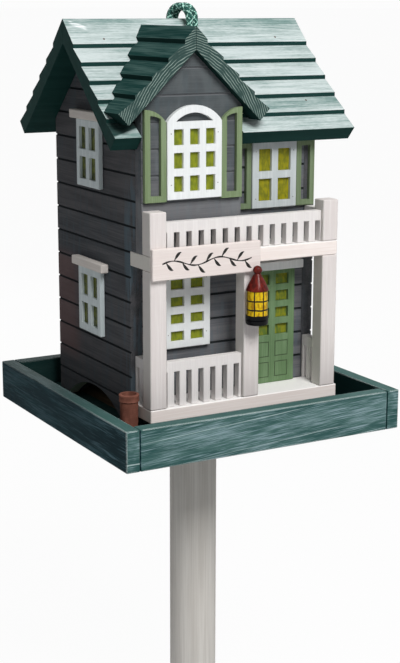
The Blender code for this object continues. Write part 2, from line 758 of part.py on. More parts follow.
def make_porch():
    """The porch board on its riser, three posts, and the balcony deck on the posts."""
    bottom = PORCH_TOP - PORCH_BOARD
    board("porch_floor", (HOUSE_LEFT, PORCH_FRONT, bottom),
          (HOUSE_RIGHT + PORCH_PROUD, HOUSE_FRONT - GAP, PORCH_TOP), TRIM_GREY)
    front = PORCH_FRONT + RISER_SETBACK
    board("porch_riser", (HOUSE_LEFT + RISER_INSET, front, FLOOR_TOP + GAP),
          (HOUSE_RIGHT - RISER_INSET, front + RISER_THICK, bottom - GAP), TRIM_GREY)
    under_deck = DECK_TOP - DECK_THICK
    board("balcony_deck", (HOUSE_LEFT, PORCH_FRONT, under_deck),
          (PORCH_RIGHT, HOUSE_FRONT - GAP, DECK_TOP), TRIM_GREY)
    for name, left in (("left", HOUSE_LEFT), ("middle", MIDDLE_POST_X - POST_WIDTH / 2),
                       ("right", PORCH_RIGHT - POST_WIDTH)):
        board("porch_post_" + name, (left, PORCH_FRONT, PORCH_TOP + GAP),
              (left + POST_WIDTH, PORCH_FRONT + POST_DEPTH, under_deck - GAP), TRIM_GREY)
        if name != "middle":
            board("balcony_post_" + name, (left, PORCH_FRONT, DECK_TOP + GAP),
                  (left + POST_WIDTH, PORCH_FRONT + POST_DEPTH, DECK_TOP + BALCONY_POST),
                  TRIM_GREY)


def slotted_rail(name, axis, start, end, near, foot, height, first_slot):
    """A board with slots sawn up from its lower edge, so that balusters hang from its cap."""
    lowest, highest = foot + GAP, foot + height
    cap = highest - RAIL_CAP
    slots = []
    place = first_slot
    while place < end - GAP:
        slots.append((max(place, start - OVERCUT), min(place + SLOT_WIDTH, end + OVERCUT)))
        place += SLOT_PITCH
    if axis == "X":
        rail = board(name, (start, near, lowest), (end, near + RAIL_THICK, highest), TRIM_GREY, 0.0)
        boxes = [((a, near - OVERCUT, lowest - OVERCUT), (b, near + RAIL_THICK + OVERCUT, cap))
                 for a, b in slots]
    else:
        rail = board(name, (near, start, lowest), (near + RAIL_THICK, end, highest), TRIM_GREY, 0.0)
        boxes = [((near - OVERCUT, a, lowest - OVERCUT), (near + RAIL_THICK + OVERCUT, b, cap))
                 for a, b in slots]
    cut(rail, box_cutter(name + "_slots", boxes))


def make_rails():
    left = HOUSE_LEFT + POST_WIDTH + GAP
    right = PORCH_RIGHT - POST_WIDTH - GAP
    middle = MIDDLE_POST_X - POST_WIDTH / 2 - GAP
    near = PORCH_FRONT + RAIL_SETBACK
    slotted_rail("balcony_rail_front", "X", left, right, near, DECK_TOP, BALCONY_RAIL,
                 left - SLOT_START)
    slotted_rail("porch_rail_front", "X", left, middle, near, PORCH_TOP, PORCH_RAIL,
                 left - SLOT_START)
    start, end = PORCH_FRONT + POST_DEPTH + GAP, HOUSE_FRONT - GAP
    first = start + SLOT_PITCH - SLOT_WIDTH - SLOT_START
    left_x = HOUSE_LEFT + (POST_WIDTH - RAIL_THICK) / 2
    right_x = PORCH_RIGHT - (POST_WIDTH + RAIL_THICK) / 2
    slotted_rail("balcony_rail_right", "Y", start, end, right_x, DECK_TOP, BALCONY_RAIL, first)
    slotted_rail("porch_rail_left", "Y", start, end, left_x, PORCH_TOP, PORCH_RAIL, first)
    slotted_rail("porch_rail_right", "Y", start, end, right_x, PORCH_TOP, PORCH_RAIL, first)


# Windows, shutters and door

def light_boxes(left, width, bottom, rows, columns, bar_width, bar_height, near, far):
    """Pockets for the painted lights: rows are (height from bottom, height) pairs."""
    boxes = []
    light = (width - (columns + 1) * bar_width) / columns
    for column in range(columns):
        start = left + bar_width + column * (light + bar_width)
        for rise, height in rows:
            low = (start, near, bottom + bar_height + rise)
            boxes.append((low, (start + light, far, bottom + bar_height + rise + height)))
    return boxes


def even_rows(height, count, bar):
    """Equal lights one over another between bars: pairs of start and height over the sill."""
    light = (height - (count + 1) * bar) / count
    return [(i * (light + bar), light) for i in range(count)]


def front_window(name, centre, sill, height, rows):
    """A milled window block on the front wall."""
    back = HOUSE_FRONT - GAP
    front = back - FRAME_THICK
    left = centre - WINDOW_WIDTH / 2
    frame = board(name, (left, front, sill), (left + WINDOW_WIDTH, back, sill + height), WHITE_PAINT)
    boxes = light_boxes(left, WINDOW_WIDTH, sill, even_rows(height, rows, BAR),
                        WINDOW_COLUMNS, STILE, BAR, front - OVERCUT, front + POCKET_DEPTH)
    cut(frame, box_cutter(name + "_lights", boxes))


def side_window(name, wall, outward, sill):
    """A two by two window block and its lintel on a side wall."""
    centre = RIDGE_Y + SIDE_WINDOW_SHIFT
    back = wall + outward * GAP
    front = back + outward * FRAME_THICK
    left = centre - WINDOW_WIDTH / 2
    low = (min(back, front), left, sill)
    high = (max(back, front), left + WINDOW_WIDTH, sill + WINDOW_HEIGHT)
    frame = board("window_" + name, low, high, WHITE_PAINT)
    floor, mouth = front - outward * POCKET_DEPTH, front + outward * OVERCUT
    rows = even_rows(WINDOW_HEIGHT, WINDOW_ROWS, BAR)
    lights = light_boxes(left, WINDOW_WIDTH, sill, rows, WINDOW_COLUMNS, STILE, BAR,
                         min(floor, mouth), max(floor, mouth))
    boxes = [((near, a, low_z), (far, b, high_z)) for (a, near, low_z), (b, far, high_z) in lights]
    cut(frame, box_cutter("window_" + name + "_lights", boxes))
    top = sill + WINDOW_HEIGHT + GAP
    edge = back + outward * LINTEL_PROUD
    board("lintel_" + name, (min(back, edge), centre - LINTEL_LENGTH / 2, top),
          (max(back, edge), centre + LINTEL_LENGTH / 2, top + LINTEL_HEIGHT), WHITE_PAINT)


def make_bay_window():
    """The arched window block: three by three lights under an open lunette."""
    back = BAY_FRONT - GAP
    front = back - FRAME_THICK
    sill = BAY_WINDOW_SILL
    spring = sill + BAY_WINDOW_SPRING
    half = BAY_WINDOW_WIDTH / 2
    drop = math.sqrt(BAY_WINDOW_RADIUS ** 2 - half ** 2)
    centre = (BAY_X, spring - drop)
    reach = math.asin(half / BAY_WINDOW_RADIUS)
    head = arc(centre, BAY_WINDOW_RADIUS, math.pi / 2 - reach, math.pi / 2 + reach, ARCH_STEPS)
    outline = [(BAY_X - half, sill), (BAY_X + half, sill)] + head
    frame = prism("bay_window", outline, "Y", front, back, WHITE_PAINT)
    rows = even_rows(BAY_WINDOW_SPRING, BAY_WINDOW_ROWS, BAY_WINDOW_BAR)
    boxes = light_boxes(BAY_X - half, BAY_WINDOW_WIDTH, sill, rows, BAY_WINDOW_COLUMNS,
                        BAY_WINDOW_BAR, BAY_WINDOW_BAR, front - OVERCUT, front + POCKET_DEPTH)
    cut(frame, box_cutter("bay_window_lights", boxes))
    inner = BAY_WINDOW_RADIUS - BAY_WINDOW_BAR
    opening = math.acos((spring - centre[1]) / inner)
    lunette = arc(centre, inner, math.pi / 2 - opening, math.pi / 2 + opening, ARCH_STEPS)
    cut(frame, prism_cutter("bay_window_lunette", [lunette], "Y", front - OVERCUT,
                            back + OVERCUT))


def shutter_outline(outer, side, low, height, inset):
    """A shutter with a quarter-round shoulder that falls towards the window."""
    width = BAY_SHUTTER_WIDTH - 2 * inset
    radius = BAY_SHUTTER_RADIUS - inset
    base = low + inset
    shoulder = low + height - BAY_SHUTTER_RADIUS
    sweep = math.asin(width / radius)
    top = arc((0.0, shoulder), radius, math.pi / 2, math.pi / 2 - sweep, SHOULDER_STEPS)
    outline = [(0.0, base)] + top + [(width, base)]
    return [(outer + side * (inset + out), rise) for out, rise in outline]


def make_bay_shutters():
    back = BAY_FRONT - GAP
    front = back - SHUTTER_THICK
    low = BAY_SHUTTER_SILL
    reach = BAY_WINDOW_WIDTH / 2 + SHUTTER_GAP + BAY_SHUTTER_WIDTH
    for name, side in (("bay_shutter_left", 1.0), ("bay_shutter_right", -1.0)):
        outer = BAY_X - side * reach
        shutter = prism(name, shutter_outline(outer, side, low, BAY_SHUTTER_HEIGHT, 0.0), "Y",
                        front, back, SAGE_GREEN)
        opening = shutter_outline(outer, side, low, BAY_SHUTTER_HEIGHT, SHUTTER_FRAME)
        cut(shutter, prism_cutter(name + "_opening", [opening], "Y", front - OVERCUT,
                                  back + OVERCUT))


def make_upper_window():
    """The balcony window and its pair of plain open shutters."""
    sill, head = UPPER_WINDOW_SILL, UPPER_WINDOW_SILL + UPPER_WINDOW_HEIGHT
    front_window("window_balcony", UPPER_WINDOW_X, sill, UPPER_WINDOW_HEIGHT, WINDOW_ROWS)
    back = HOUSE_FRONT - GAP
    front = back - SHUTTER_THICK
    edge = WINDOW_WIDTH / 2 + SHUTTER_GAP
    for name, left in (("balcony_shutter_left", UPPER_WINDOW_X - edge - SHUTTER_WIDTH),
                       ("balcony_shutter_right", UPPER_WINDOW_X + edge)):
        shutter = board(name, (left, front, sill), (left + SHUTTER_WIDTH, back, head), SAGE_GREEN)
        opening = ((left + SHUTTER_FRAME, front - OVERCUT, sill + SHUTTER_FRAME),
                   (left + SHUTTER_WIDTH - SHUTTER_FRAME, back + OVERCUT, head - SHUTTER_FRAME))
        cut(shutter, box_cutter(name + "_opening", [opening]))


def make_door():
    """The door block, with rows of lights over rows of shallow panels, and its lintel."""
    back = HOUSE_FRONT - GAP
    front = back - FRAME_THICK
    left = DOOR_X - DOOR_WIDTH / 2
    sill = PORCH_TOP + GAP
    top = sill + DOOR_HEIGHT
    door = board("door", (left, front, sill), (left + DOOR_WIDTH, back, top), DOOR_GREEN)
    first = DOOR_HEIGHT - DOOR_LIGHT_ROWS * (DOOR_LIGHT + BAR) - STILE
    lights = [(first + i * (DOOR_LIGHT + BAR), DOOR_LIGHT) for i in range(DOOR_LIGHT_ROWS)]
    panels = [(i * (DOOR_PANEL + BAR), DOOR_PANEL) for i in range(DOOR_PANEL_ROWS)]
    for name, rows, depth in (("door_lights", lights, POCKET_DEPTH),
                              ("door_panels", panels, DOOR_PANEL_DEPTH)):
        boxes = light_boxes(left, DOOR_WIDTH, sill, rows, DOOR_COLUMNS, STILE, STILE,
                            front - OVERCUT, front + depth)
        cut(door, box_cutter(name, boxes))
    board("door_lintel", (DOOR_X - LINTEL_LENGTH / 2, back - LINTEL_PROUD, top + GAP),
          (DOOR_X + LINTEL_LENGTH / 2, back, top + GAP + LINTEL_HEIGHT), WHITE_PAINT)


def make_openings():
    for side, wall, outward in (("left", HOUSE_LEFT, -1.0), ("right", HOUSE_RIGHT, 1.0)):
        side_window(side + "_lower", wall, outward, TRAY_BASE + LOWER_SIDE_SILL)
        side_window(side + "_upper", wall, outward, UPPER_SIDE_SILL)
    front_window("window_porch", LOWER_WINDOW_X, TRAY_BASE + LOWER_WINDOW_SILL,
                 LOWER_WINDOW_HEIGHT, LOWER_WINDOW_ROWS)
    make_bay_window()
    make_bay_shutters()
    make_upper_window()
    make_door()


# Sign, lantern and pot

def make_sign():
    """The sign board across the deck's front edge."""
    back = PORCH_FRONT - GAP
    top = DECK_TOP + SIGN_DROP
    board("sign_board", (HOUSE_LEFT, back - SIGN_THICK, top - SIGN_HEIGHT),
          (HOUSE_LEFT + SIGN_LENGTH, back, top), TRIM_GREY)


def make_lantern():
    """A turned lantern with a flat at its back against the middle post."""
    r = LANTERN_RADIUS
    waist = r - LANTERN_REBATE
    body_top = LANTERN_BASE + LANTERN_BODY
    meet = math.acos(LANTERN_NECK / LANTERN_BALL)
    ball_z = body_top + LANTERN_CONE + LANTERN_BALL * math.sin(meet)
    profile = arc((0.0, ball_z), LANTERN_BALL, math.pi / 2, -meet, BALL_STEPS)
    profile += [(r, body_top + LANTERN_EDGE), (r, body_top), (waist, body_top),
                (waist, LANTERN_BASE), (r, LANTERN_BASE), (r, LANTERN_EDGE),
                (r - LANTERN_EDGE, 0.0), (0.0, 0.0)]
    far, foot = PORCH_FRONT - GAP, TRAY_BASE + LANTERN_RISE
    lantern = turned("lantern", profile, LANTERN_STEPS,
                     (MIDDLE_POST_X, far + LANTERN_FLAT - r, foot), LANTERN_RED)
    low = (MIDDLE_POST_X - 2 * r, far, foot - OVERCUT)
    high = (MIDDLE_POST_X + 2 * r, far + 2 * r, foot + ball_z + LANTERN_BALL + OVERCUT)
    cut(lantern, box_cutter("lantern_flat", [(low, high)]))


def pot_side(inset, low, high):
    """The pot's curved side between two heights, bottom to top, drawn in by an inset."""
    points = []
    for i in range(POT_CURVE_STEPS + 1):
        share = i / POT_CURVE_STEPS
        swell = (POT_SHOULDER - POT_FOOT) * math.sin(share * math.pi / 2)
        points.append((POT_FOOT + swell - inset, low + (high - low) * share))
    return points


def make_pot():
    """A small turned pot with a rolled rim, on the tray floor beside the porch."""
    under_rim = POT_HEIGHT - POT_RIM
    profile = [(0.0, POT_WALL)] + pot_side(POT_WALL, POT_WALL, POT_HEIGHT)
    profile += [(POT_RADIUS, POT_HEIGHT), (POT_RADIUS, under_rim)]
    profile += pot_side(0.0, 0.0, under_rim)[::-1] + [(0.0, 0.0)]
    turned("flower_pot", profile, POT_STEPS, (POT_X, POT_Y, FLOOR_TOP + GAP), TERRACOTTA)


make_pole()
make_flange()
make_screws()
make_tray()
make_walls()
make_ramps()
make_bay()
make_main_roof()
make_dormer_roof()
make_cleats()
make_cord()
make_porch()
make_rails()
make_openings()
make_sign()
make_lantern()
make_pot()
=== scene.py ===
import math

import bmesh
import bpy
from mathutils import Matrix, Vector


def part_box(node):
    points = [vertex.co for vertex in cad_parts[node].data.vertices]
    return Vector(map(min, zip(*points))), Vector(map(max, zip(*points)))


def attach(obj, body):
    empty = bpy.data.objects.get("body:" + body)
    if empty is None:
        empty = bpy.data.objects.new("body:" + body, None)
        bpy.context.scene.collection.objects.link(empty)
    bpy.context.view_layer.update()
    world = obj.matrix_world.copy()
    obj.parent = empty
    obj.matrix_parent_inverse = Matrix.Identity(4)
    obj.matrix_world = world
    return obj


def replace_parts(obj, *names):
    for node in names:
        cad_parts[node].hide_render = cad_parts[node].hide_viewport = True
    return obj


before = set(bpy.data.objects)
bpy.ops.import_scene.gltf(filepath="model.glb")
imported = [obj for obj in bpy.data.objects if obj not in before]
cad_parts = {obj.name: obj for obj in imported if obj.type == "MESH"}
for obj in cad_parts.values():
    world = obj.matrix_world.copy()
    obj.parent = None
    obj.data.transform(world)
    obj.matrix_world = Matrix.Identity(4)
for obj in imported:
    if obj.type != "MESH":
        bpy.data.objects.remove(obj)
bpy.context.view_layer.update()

# Studio: a pale floor in a white surround, one soft lamp high in front, a faint one on the right
# and one behind. The floor keeps the feeder's shadow. The camera stands front left, just higher
# than the ridge, and looks a little down.


class Tone:
    """One value or colour in a finish; arithmetic on it adds the nodes that work it out."""

    def __init__(self, coat, socket):
        self.coat = coat
        self.socket = socket

    def __add__(self, other):
        return self.coat.maths("ADD", self, other)

    def __radd__(self, other):
        return self.coat.maths("ADD", other, self)

    def __sub__(self, other):
        return self.coat.maths("SUBTRACT", self, other)

    def __rsub__(self, other):
        return self.coat.maths("SUBTRACT", other, self)

    def __mul__(self, other):
        return self.coat.maths("MULTIPLY", self, other)

    def __rmul__(self, other):
        return self.coat.maths("MULTIPLY", other, self)

    def __truediv__(self, other):
        return self.coat.maths("DIVIDE", self, other)

    def __rtruediv__(self, other):
        return self.coat.maths("DIVIDE", other, self)

    def __abs__(self):
        return self.coat.maths("ABSOLUTE", self)


class Coat:
    """A finish being mixed in the node tree of a material or a world."""

    def __init__(self, owner):
        owner.use_nodes = True
        self.owner = owner
        self.tree = owner.node_tree
        self.shader = self.tree.nodes.get("Principled BSDF")
        self.spot = None
        self.eased = None

    def node(self, kind, settings=None, sockets=None, out=0):
        """Adds a node: its settings first, then the values or links of its sockets."""
        made = self.tree.nodes.new(kind)
        for name, value in (settings or {}).items():
            setattr(made, name, value)
        for name, value in (sockets or {}).items():
            target = made.inputs[name]
            if isinstance(value, Tone):
                self.tree.links.new(value.socket, target)
            elif target.type == "RGBA":
                target.default_value = (*value, 1.0)
            else:
                target.default_value = value
        return Tone(self, made.outputs[out]) if made.outputs else None

    def give(self, name, tone):
        """Links a tone to a socket of the finish itself."""
        self.tree.links.new(tone.socket, self.shader.inputs[name])

    def maths(self, operation, first, second=0.0):
        return self.node("ShaderNodeMath", {"operation": operation}, {0: first, 1: second})

    def mix(self, first, second, share):
        return self.node("ShaderNodeMix", {"data_type": "RGBA"}, {0: share, 6: first, 7: second}, 2)

    def fade(self, value, start, end):
        """0 at start, 1 at end, smooth between."""
        return self.node("ShaderNodeMapRange", {"interpolation_type": "SMOOTHSTEP"},
                         {0: value, 1: start, 2: end, 3: 0.0, 4: 1.0})


room = bpy.data.worlds.new("room")
bpy.context.scene.world = room
air = Coat(room)
air.tree.nodes.clear()


def seen_straight(coat):
    """1 for what the camera, a reflection or a clear piece sees, 0 for what only lights."""
    seen, mirrored, through = (coat.node("ShaderNodeLightPath", out=ray) for ray in
                               ("Is Camera Ray", "Is Glossy Ray", "Is Transmission Ray"))
    return coat.maths("MAXIMUM", coat.maths("MAXIMUM", seen, mirrored), through)


glow = air.node("ShaderNodeBackground", None, {"Color": (0.95, 0.97, 1.0), "Strength": 0.20})
white = air.node("ShaderNodeBackground", None, {"Color": (1.0, 1.0, 1.0), "Strength": 0.975})
surround = air.node("ShaderNodeMixShader", None, {0: seen_straight(air), 1: glow, 2: white})
air.node("ShaderNodeOutputWorld", None, {"Surface": surround})

FLOOR_REACH, SHADOW_KEPT = 300.0, 0.96
ground = bmesh.new()
bmesh.ops.create_grid(ground, x_segments=2, y_segments=2, size=FLOOR_REACH)
ground_mesh = bpy.data.meshes.new("floor")
ground.to_mesh(ground_mesh)
ground.free()
floor = bpy.data.objects.new("floor", ground_mesh)
bpy.context.scene.collection.objects.link(floor)
floor_coat = Coat(bpy.data.materials.new("floor_paper"))
floor_coat.tree.nodes.clear()
paper = floor_coat.node("ShaderNodeBsdfDiffuse", None, {"Color": (0.78, 0.78, 0.78)})
lit = floor_coat.node("ShaderNodeEmission", None, {"Color": (1.0, 1.0, 1.0), "Strength": 1.0})
sheet = floor_coat.node("ShaderNodeMixShader", None,
                        {0: seen_straight(floor_coat) * SHADOW_KEPT, 1: paper, 2: lit})
floor_coat.node("ShaderNodeOutputMaterial", None, {"Surface": sheet})
ground_mesh.materials.append(floor_coat.owner)

LAMP_AIM = Vector((0.0, 0.0, 0.62))
for lamp_name, place, size, power in (("key_lamp", (-0.14, -2.10, 2.62), 1.2, 81.0),
                                      ("side_lamp", (2.3, -0.9, 1.2), 1.6, 2.5),
                                      ("back_lamp", (0.7, 2.6, 1.5), 1.6, 18.0)):
    lamp = bpy.data.lights.new(lamp_name, "AREA")
    lamp.shape = "SQUARE"
    lamp.size = size
    lamp.energy = power
    stand = bpy.data.objects.new(lamp_name, lamp)
    stand.location = place
    stand.rotation_euler = (LAMP_AIM - stand.location).to_track_quat("-Z", "Y").to_euler()
    bpy.context.scene.collection.objects.link(stand)

CAMERA_PLACE, LENS_LONG, SENSOR_WIDE = (-0.7236, -1.3023, 0.8352), 77.46, 36.0
yaw, pitch, roll = math.radians(-29.34), math.radians(12.91), math.radians(0.14)
forward = Vector((-math.sin(yaw) * math.cos(pitch), math.cos(yaw) * math.cos(pitch),
                  -math.sin(pitch)))
level = Vector((math.cos(yaw), math.sin(yaw), 0.0))
upright = level.cross(forward)
across = level * math.cos(roll) + upright * math.sin(roll)
upward = upright * math.cos(roll) - level * math.sin(roll)
lens = bpy.data.cameras.new("camera")
lens.sensor_width = SENSOR_WIDE
lens.lens = LENS_LONG
camera = bpy.data.objects.new("camera", lens)
bpy.context.scene.collection.objects.link(camera)
turn = Matrix((across, upward, -forward)).transposed().to_4x4()
camera.matrix_world = Matrix.Translation(CAMERA_PLACE) @ turn
bpy.context.scene.camera = camera
bpy.context.scene.view_settings.view_transform = "Standard"

# Pole: a turned softwood pole in thin grey-beige paint, the grain just showing through it.
# It stands in the collar of a zinc-plated floor flange, screwed up into the tray's floor.

X, Y, Z = range(3)


def spot_on(coat):
    """The place on the piece, read once for each finish."""
    if coat.spot is None:
        coat.spot = coat.node("ShaderNodeTexCoord", out="Object")
    return coat.spot


def grain(coat, along, fine, long, seed=0.0, detail=5.0, tilt=0.0):
    """Marks drawn out along one axis, 0 to 1: fine across it, long down it, in metres."""
    spot = spot_on(coat)
    if tilt:
        spot = coat.node("ShaderNodeVectorRotate", {"rotation_type": "Y_AXIS"},
                         {"Vector": spot, "Angle": tilt})
    size = [1.0 / fine] * 3
    size[along] = 1.0 / long
    spread = coat.node("ShaderNodeMapping", None,
                       {"Vector": spot, "Location": (seed, seed, seed), "Scale": size})
    return coat.node("ShaderNodeTexNoise", None, {"Vector": spread, "Scale": 1.0, "Detail": detail})


def edges(coat, width, start=0.02, end=0.20):
    """1 along arrises and corners, 0 on the flats; keeps the eased surface for the relief."""
    coat.eased = coat.node("ShaderNodeBevel", {"samples": 4}, {"Radius": width})
    flat = coat.node("ShaderNodeNewGeometry", out="Normal")
    match = coat.node("ShaderNodeVectorMath", {"operation": "DOT_PRODUCT"},
                      {0: coat.eased, 1: flat}, "Value")
    return coat.fade(1.0 - match, start, end)


def relief(coat, height, depth):
    """Raises the finish by a height from 0 to 1, over the eased arrises where there are any."""
    sockets = {"Strength": 1.0, "Distance": depth, "Height": height}
    if coat.eased:
        sockets["Normal"] = coat.eased
    coat.give("Normal", coat.node("ShaderNodeBump", None, sockets))


def new_coat(name, roughness, metallic=0.0, gloss=0.12):
    coat = Coat(bpy.data.materials.new(name))
    coat.shader.inputs["Roughness"].default_value = roughness
    coat.shader.inputs["Metallic"].default_value = metallic
    coat.shader.inputs["Specular IOR Level"].default_value = gloss
    return coat


def dress(coat, *names):
    """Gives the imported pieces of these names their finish."""
    for name in names:
        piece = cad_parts[name]
        if piece.material_slots:
            for slot in piece.material_slots:
                slot.material = coat.owner
        else:
            piece.data.materials.append(coat.owner)


def finished(name, shape, coat, body, smooth_below=None):
    """A bmesh made into a finished piece that goes with a body and takes a slot's finish."""
    mesh = bpy.data.meshes.new(name)
    shape.to_mesh(mesh)
    shape.free()
    mesh.materials.append(coat.owner)
    if smooth_below:
        mesh.shade_smooth()
        mesh.set_sharp_from_angle(angle=math.radians(smooth_below))
    piece = bpy.data.objects.new(name, mesh)
    bpy.context.scene.collection.objects.link(piece)
    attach(piece, body)
    return piece


def spun(name, profile, steps, centre, coat):
    """A turned piece: radius and height pairs spun once round an upright axis."""
    shape = bmesh.new()
    points = [shape.verts.new((radius, 0.0, height)) for radius, height in profile]
    lines = [shape.edges.new(pair) for pair in zip(points, points[1:])]
    bmesh.ops.spin(shape, geom=points + lines, cent=(0, 0, 0), axis=(0, 0, 1), angle=math.tau,
                   steps=steps, use_merge=True)
    bmesh.ops.remove_doubles(shape, verts=shape.verts, dist=0.00001)
    bmesh.ops.recalc_face_normals(shape, faces=shape.faces)
    bmesh.ops.translate(shape, verts=shape.verts, vec=(centre[X], centre[Y], 0.0))
    return finished(name, shape, coat, "house", 35)


def midpoint(low, high):
    return [(start + end) / 2 for start, end in zip(low, high)]


pole_coat = new_coat("pole_paint", 0.55)
pole_fine = grain(pole_coat, Z, 0.0016, 0.090)
pole_broad = grain(pole_coat, Z, 0.0100, 0.300, 4.0)
pole_marks = pole_coat.fade(pole_fine * 0.5 + pole_broad * 0.5, 0.35, 0.70)
pole_body = pole_coat.mix((0.540, 0.510, 0.470), (0.670, 0.645, 0.605), pole_marks)
pole_coat.give("Base Color", pole_body)
relief(pole_coat, pole_fine, 0.00010)
pole_low, pole_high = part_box("pole")
pole_r = (pole_high[X] - pole_low[X]) / 2
pole_arris = ((0.0012, 0.0), (0.0003, 0.0004), (0.0, 0.0012))
pole_line = [(0.0, pole_high[Z])]
pole_line += [(pole_r - side, pole_high[Z] - end) for side, end in pole_arris]
pole_line += [(pole_r - side, end) for side, end in pole_arris[::-1]] + [(0.0, 0.0)]
pole = spun("pole_turned", pole_line, 96, midpoint(pole_low, pole_high), pole_coat)
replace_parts(pole, "pole")

zinc = new_coat("zinc_plate", 0.38, 1.0, 0.5)
zinc_grain = grain(zinc, X, 0.0060, 0.0060, 2.0)
zinc_rub = edges(zinc, 0.0008)
zinc_dull = zinc.mix((0.46, 0.47, 0.48), (0.60, 0.61, 0.62), zinc.fade(zinc_grain, 0.35, 0.65))
zinc.give("Base Color", zinc.mix(zinc_dull, (0.74, 0.75, 0.76), zinc_rub))
zinc.give("Roughness", 0.30 + zinc_grain * 0.22)
relief(zinc, zinc_grain, 0.00005)
dress(zinc, "pole_flange", *("flange_screw_%d" % (i + 1) for i in range(4)))

# Tray: four sawn softwood boards nailed round a plywood floor, stained dark teal.
# The stain is dry-brushed with pale blue along the grain and rubbed off the arrises, more in
# front than behind.

BOARD_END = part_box("tray_wall_front")[1][X]
SIDE_INNER, SIDE_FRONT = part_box("tray_wall_right")[0][:2]
BRUSH_LEAN = 0.060


def part_of(coat, axis):
    """One coordinate of the place on the piece."""
    return coat.node("ShaderNodeSeparateXYZ", None, {0: spot_on(coat)}, axis)


def facing(coat, axis):
    """How far the surface faces along an axis, 1 straight along it and -1 straight against it."""
    flat = coat.node("ShaderNodeNewGeometry", out="Normal")
    return coat.node("ShaderNodeSeparateXYZ", None, {0: flat}, axis)


def painted_board(name, along, colour, streak, worn, amount=0.7, wear=0.4, roughness=0.62,
                  depth=0.00010, width=0.0009, top=None, sides=None):
    """Thin paint brushed along a board: streaks of a second tone, and arrises rubbed paler."""
    coat = new_coat(name, roughness)
    fine = grain(coat, along, 0.0011, 0.045)
    broad = grain(coat, along, 0.0060, 0.160, 7.0)
    brushed = coat.fade(fine * 0.55 + broad * 0.45, 0.42, 0.66)
    rubbed = edges(coat, width) * coat.fade(grain(coat, along, 0.004, 0.020, 3.0), 0.40, 0.62)
    body = coat.mix(colour, streak, brushed * amount)
    # A top colour, where given, paints upward faces paler: painted light.
    if top:
        body = coat.mix(body, top, coat.fade(facing(coat, Z), 0.5, 0.8))
    # A colour for sideways faces, where given, paints them darker: painted shade.
    if sides:
        body = coat.mix(body, sides, coat.fade(abs(facing(coat, X)), 0.5, 0.8) * 0.8)
    coat.give("Base Color", coat.mix(body, worn, rubbed * wear))
    relief(coat, fine * 0.7 + broad * 0.3, depth)
    return coat


def brush_marks(coat, along, lean=0.0):
    """Fine scratches and broader strokes of a dry brush drawn along one axis."""
    return (grain(coat, along, 0.0006, 0.024, detail=9.0, tilt=lean),
            grain(coat, along, 0.0026, 0.080, 5.0, 8.0, lean))


for along, names in ((X, ("tray_wall_front", "tray_wall_back")),
                     (Y, ("tray_wall_left", "tray_wall_right"))):
    coat = new_coat("tray_stain_%s" % "xy"[along], 0.60, gloss=0.03)
    lean = BRUSH_LEAN if along == X else 0.0
    scratch, strokes = brush_marks(coat, along, lean)
    patch = grain(coat, along, 0.0160, 0.090, 9.0, 3.0, lean)
    if along == Y:
        end_on = coat.fade(abs(facing(coat, Y)), 0.5, 0.8)
        end_scratch, end_strokes = brush_marks(coat, X)
        scratch = scratch + (end_scratch - scratch) * end_on
        strokes = strokes + (end_strokes - strokes) * end_on
    dry = scratch * 0.50 + strokes * 0.28 + patch * 0.22
    marks = coat.fade(scratch * 0.5 + patch * 0.5, 0.40, 0.60)
    top = coat.fade(facing(coat, Z), 0.5, 0.8)
    # The boards' outer sides take darker copies of the stain and the chalk: painted shade.
    painted_shade_sides = coat.fade(abs(facing(coat, X)), 0.4, 0.6)
    through = 1 - along
    facing_in = facing(coat, through) * coat.maths("SIGN", part_of(coat, through))
    inner = coat.fade(facing_in, -0.3, -0.6)
    fore = coat.fade(part_of(coat, Y), -0.040, -0.130)
    body = coat.mix(coat.mix((0.030, 0.084, 0.080), (0.080, 0.160, 0.148), marks),
                    coat.mix((0.002, 0.016, 0.022), (0.012, 0.046, 0.054), marks), painted_shade_sides)
    # The tops darken toward the back and the left: painted shade.
    painted_shade_top = coat.fade(part_of(coat, Y), -0.140, 0.050)
    painted_shade_top = painted_shade_top * coat.fade(part_of(coat, X), 0.080, -0.100)
    top_stain_and_shade = coat.mix((0.060, 0.135, 0.122), (0.007, 0.021, 0.021), painted_shade_top)
    body = coat.mix(body, top_stain_and_shade, top * 0.85)
    body = coat.mix(body, (0.008, 0.028, 0.026), inner * 0.85)
    shaded_side_chalk = coat.mix((0.046, 0.082, 0.100), (0.120, 0.205, 0.245), fore)
    chalk = coat.mix((0.275, 0.375, 0.415), shaded_side_chalk, painted_shade_sides)
    brushed = coat.fade(dry, 0.49, 0.60) * (1.0 - top * 0.8) * (1.0 - inner) * 0.75
    body = coat.mix(body, chalk, brushed)
    score = coat.fade(grain(coat, X, 0.0016, 0.260, 12.0, 1.0, lean), 0.66, 0.70)
    score = score * (1.0 - top) * (1.0 - inner) * (1.0 - painted_shade_sides) * 0.6
    body = coat.mix(body, (0.520, 0.640, 0.640), score)
    if along == Y:
        joint = coat.fade(abs(part_of(coat, X)), SIDE_INNER + 0.0040, SIDE_INNER + 0.0020)
        joint = joint * coat.fade(part_of(coat, Y), SIDE_FRONT + 0.0060, SIDE_FRONT + 0.0030)
    else:
        joint = coat.fade(abs(part_of(coat, X)), BOARD_END - 0.0035, BOARD_END - 0.0015)
    worn = edges(coat, 0.0014, 0.01, 0.12) * coat.fade(strokes, 0.34, 0.46) * (0.3 + fore * 0.7)
    coat.give("Base Color", coat.mix(body, (0.720, 0.800, 0.790), worn * (1.0 - joint) * 0.85))
    relief(coat, scratch * 0.6 + strokes * 0.4, 0.00030)
    dress(coat, *names)
dress(painted_board("tray_floor_stain", X, (0.012, 0.036, 0.034), (0.026, 0.066, 0.062),
                    (0.07, 0.13, 0.12), amount=0.6, roughness=0.75, depth=0.00018), "tray_floor")
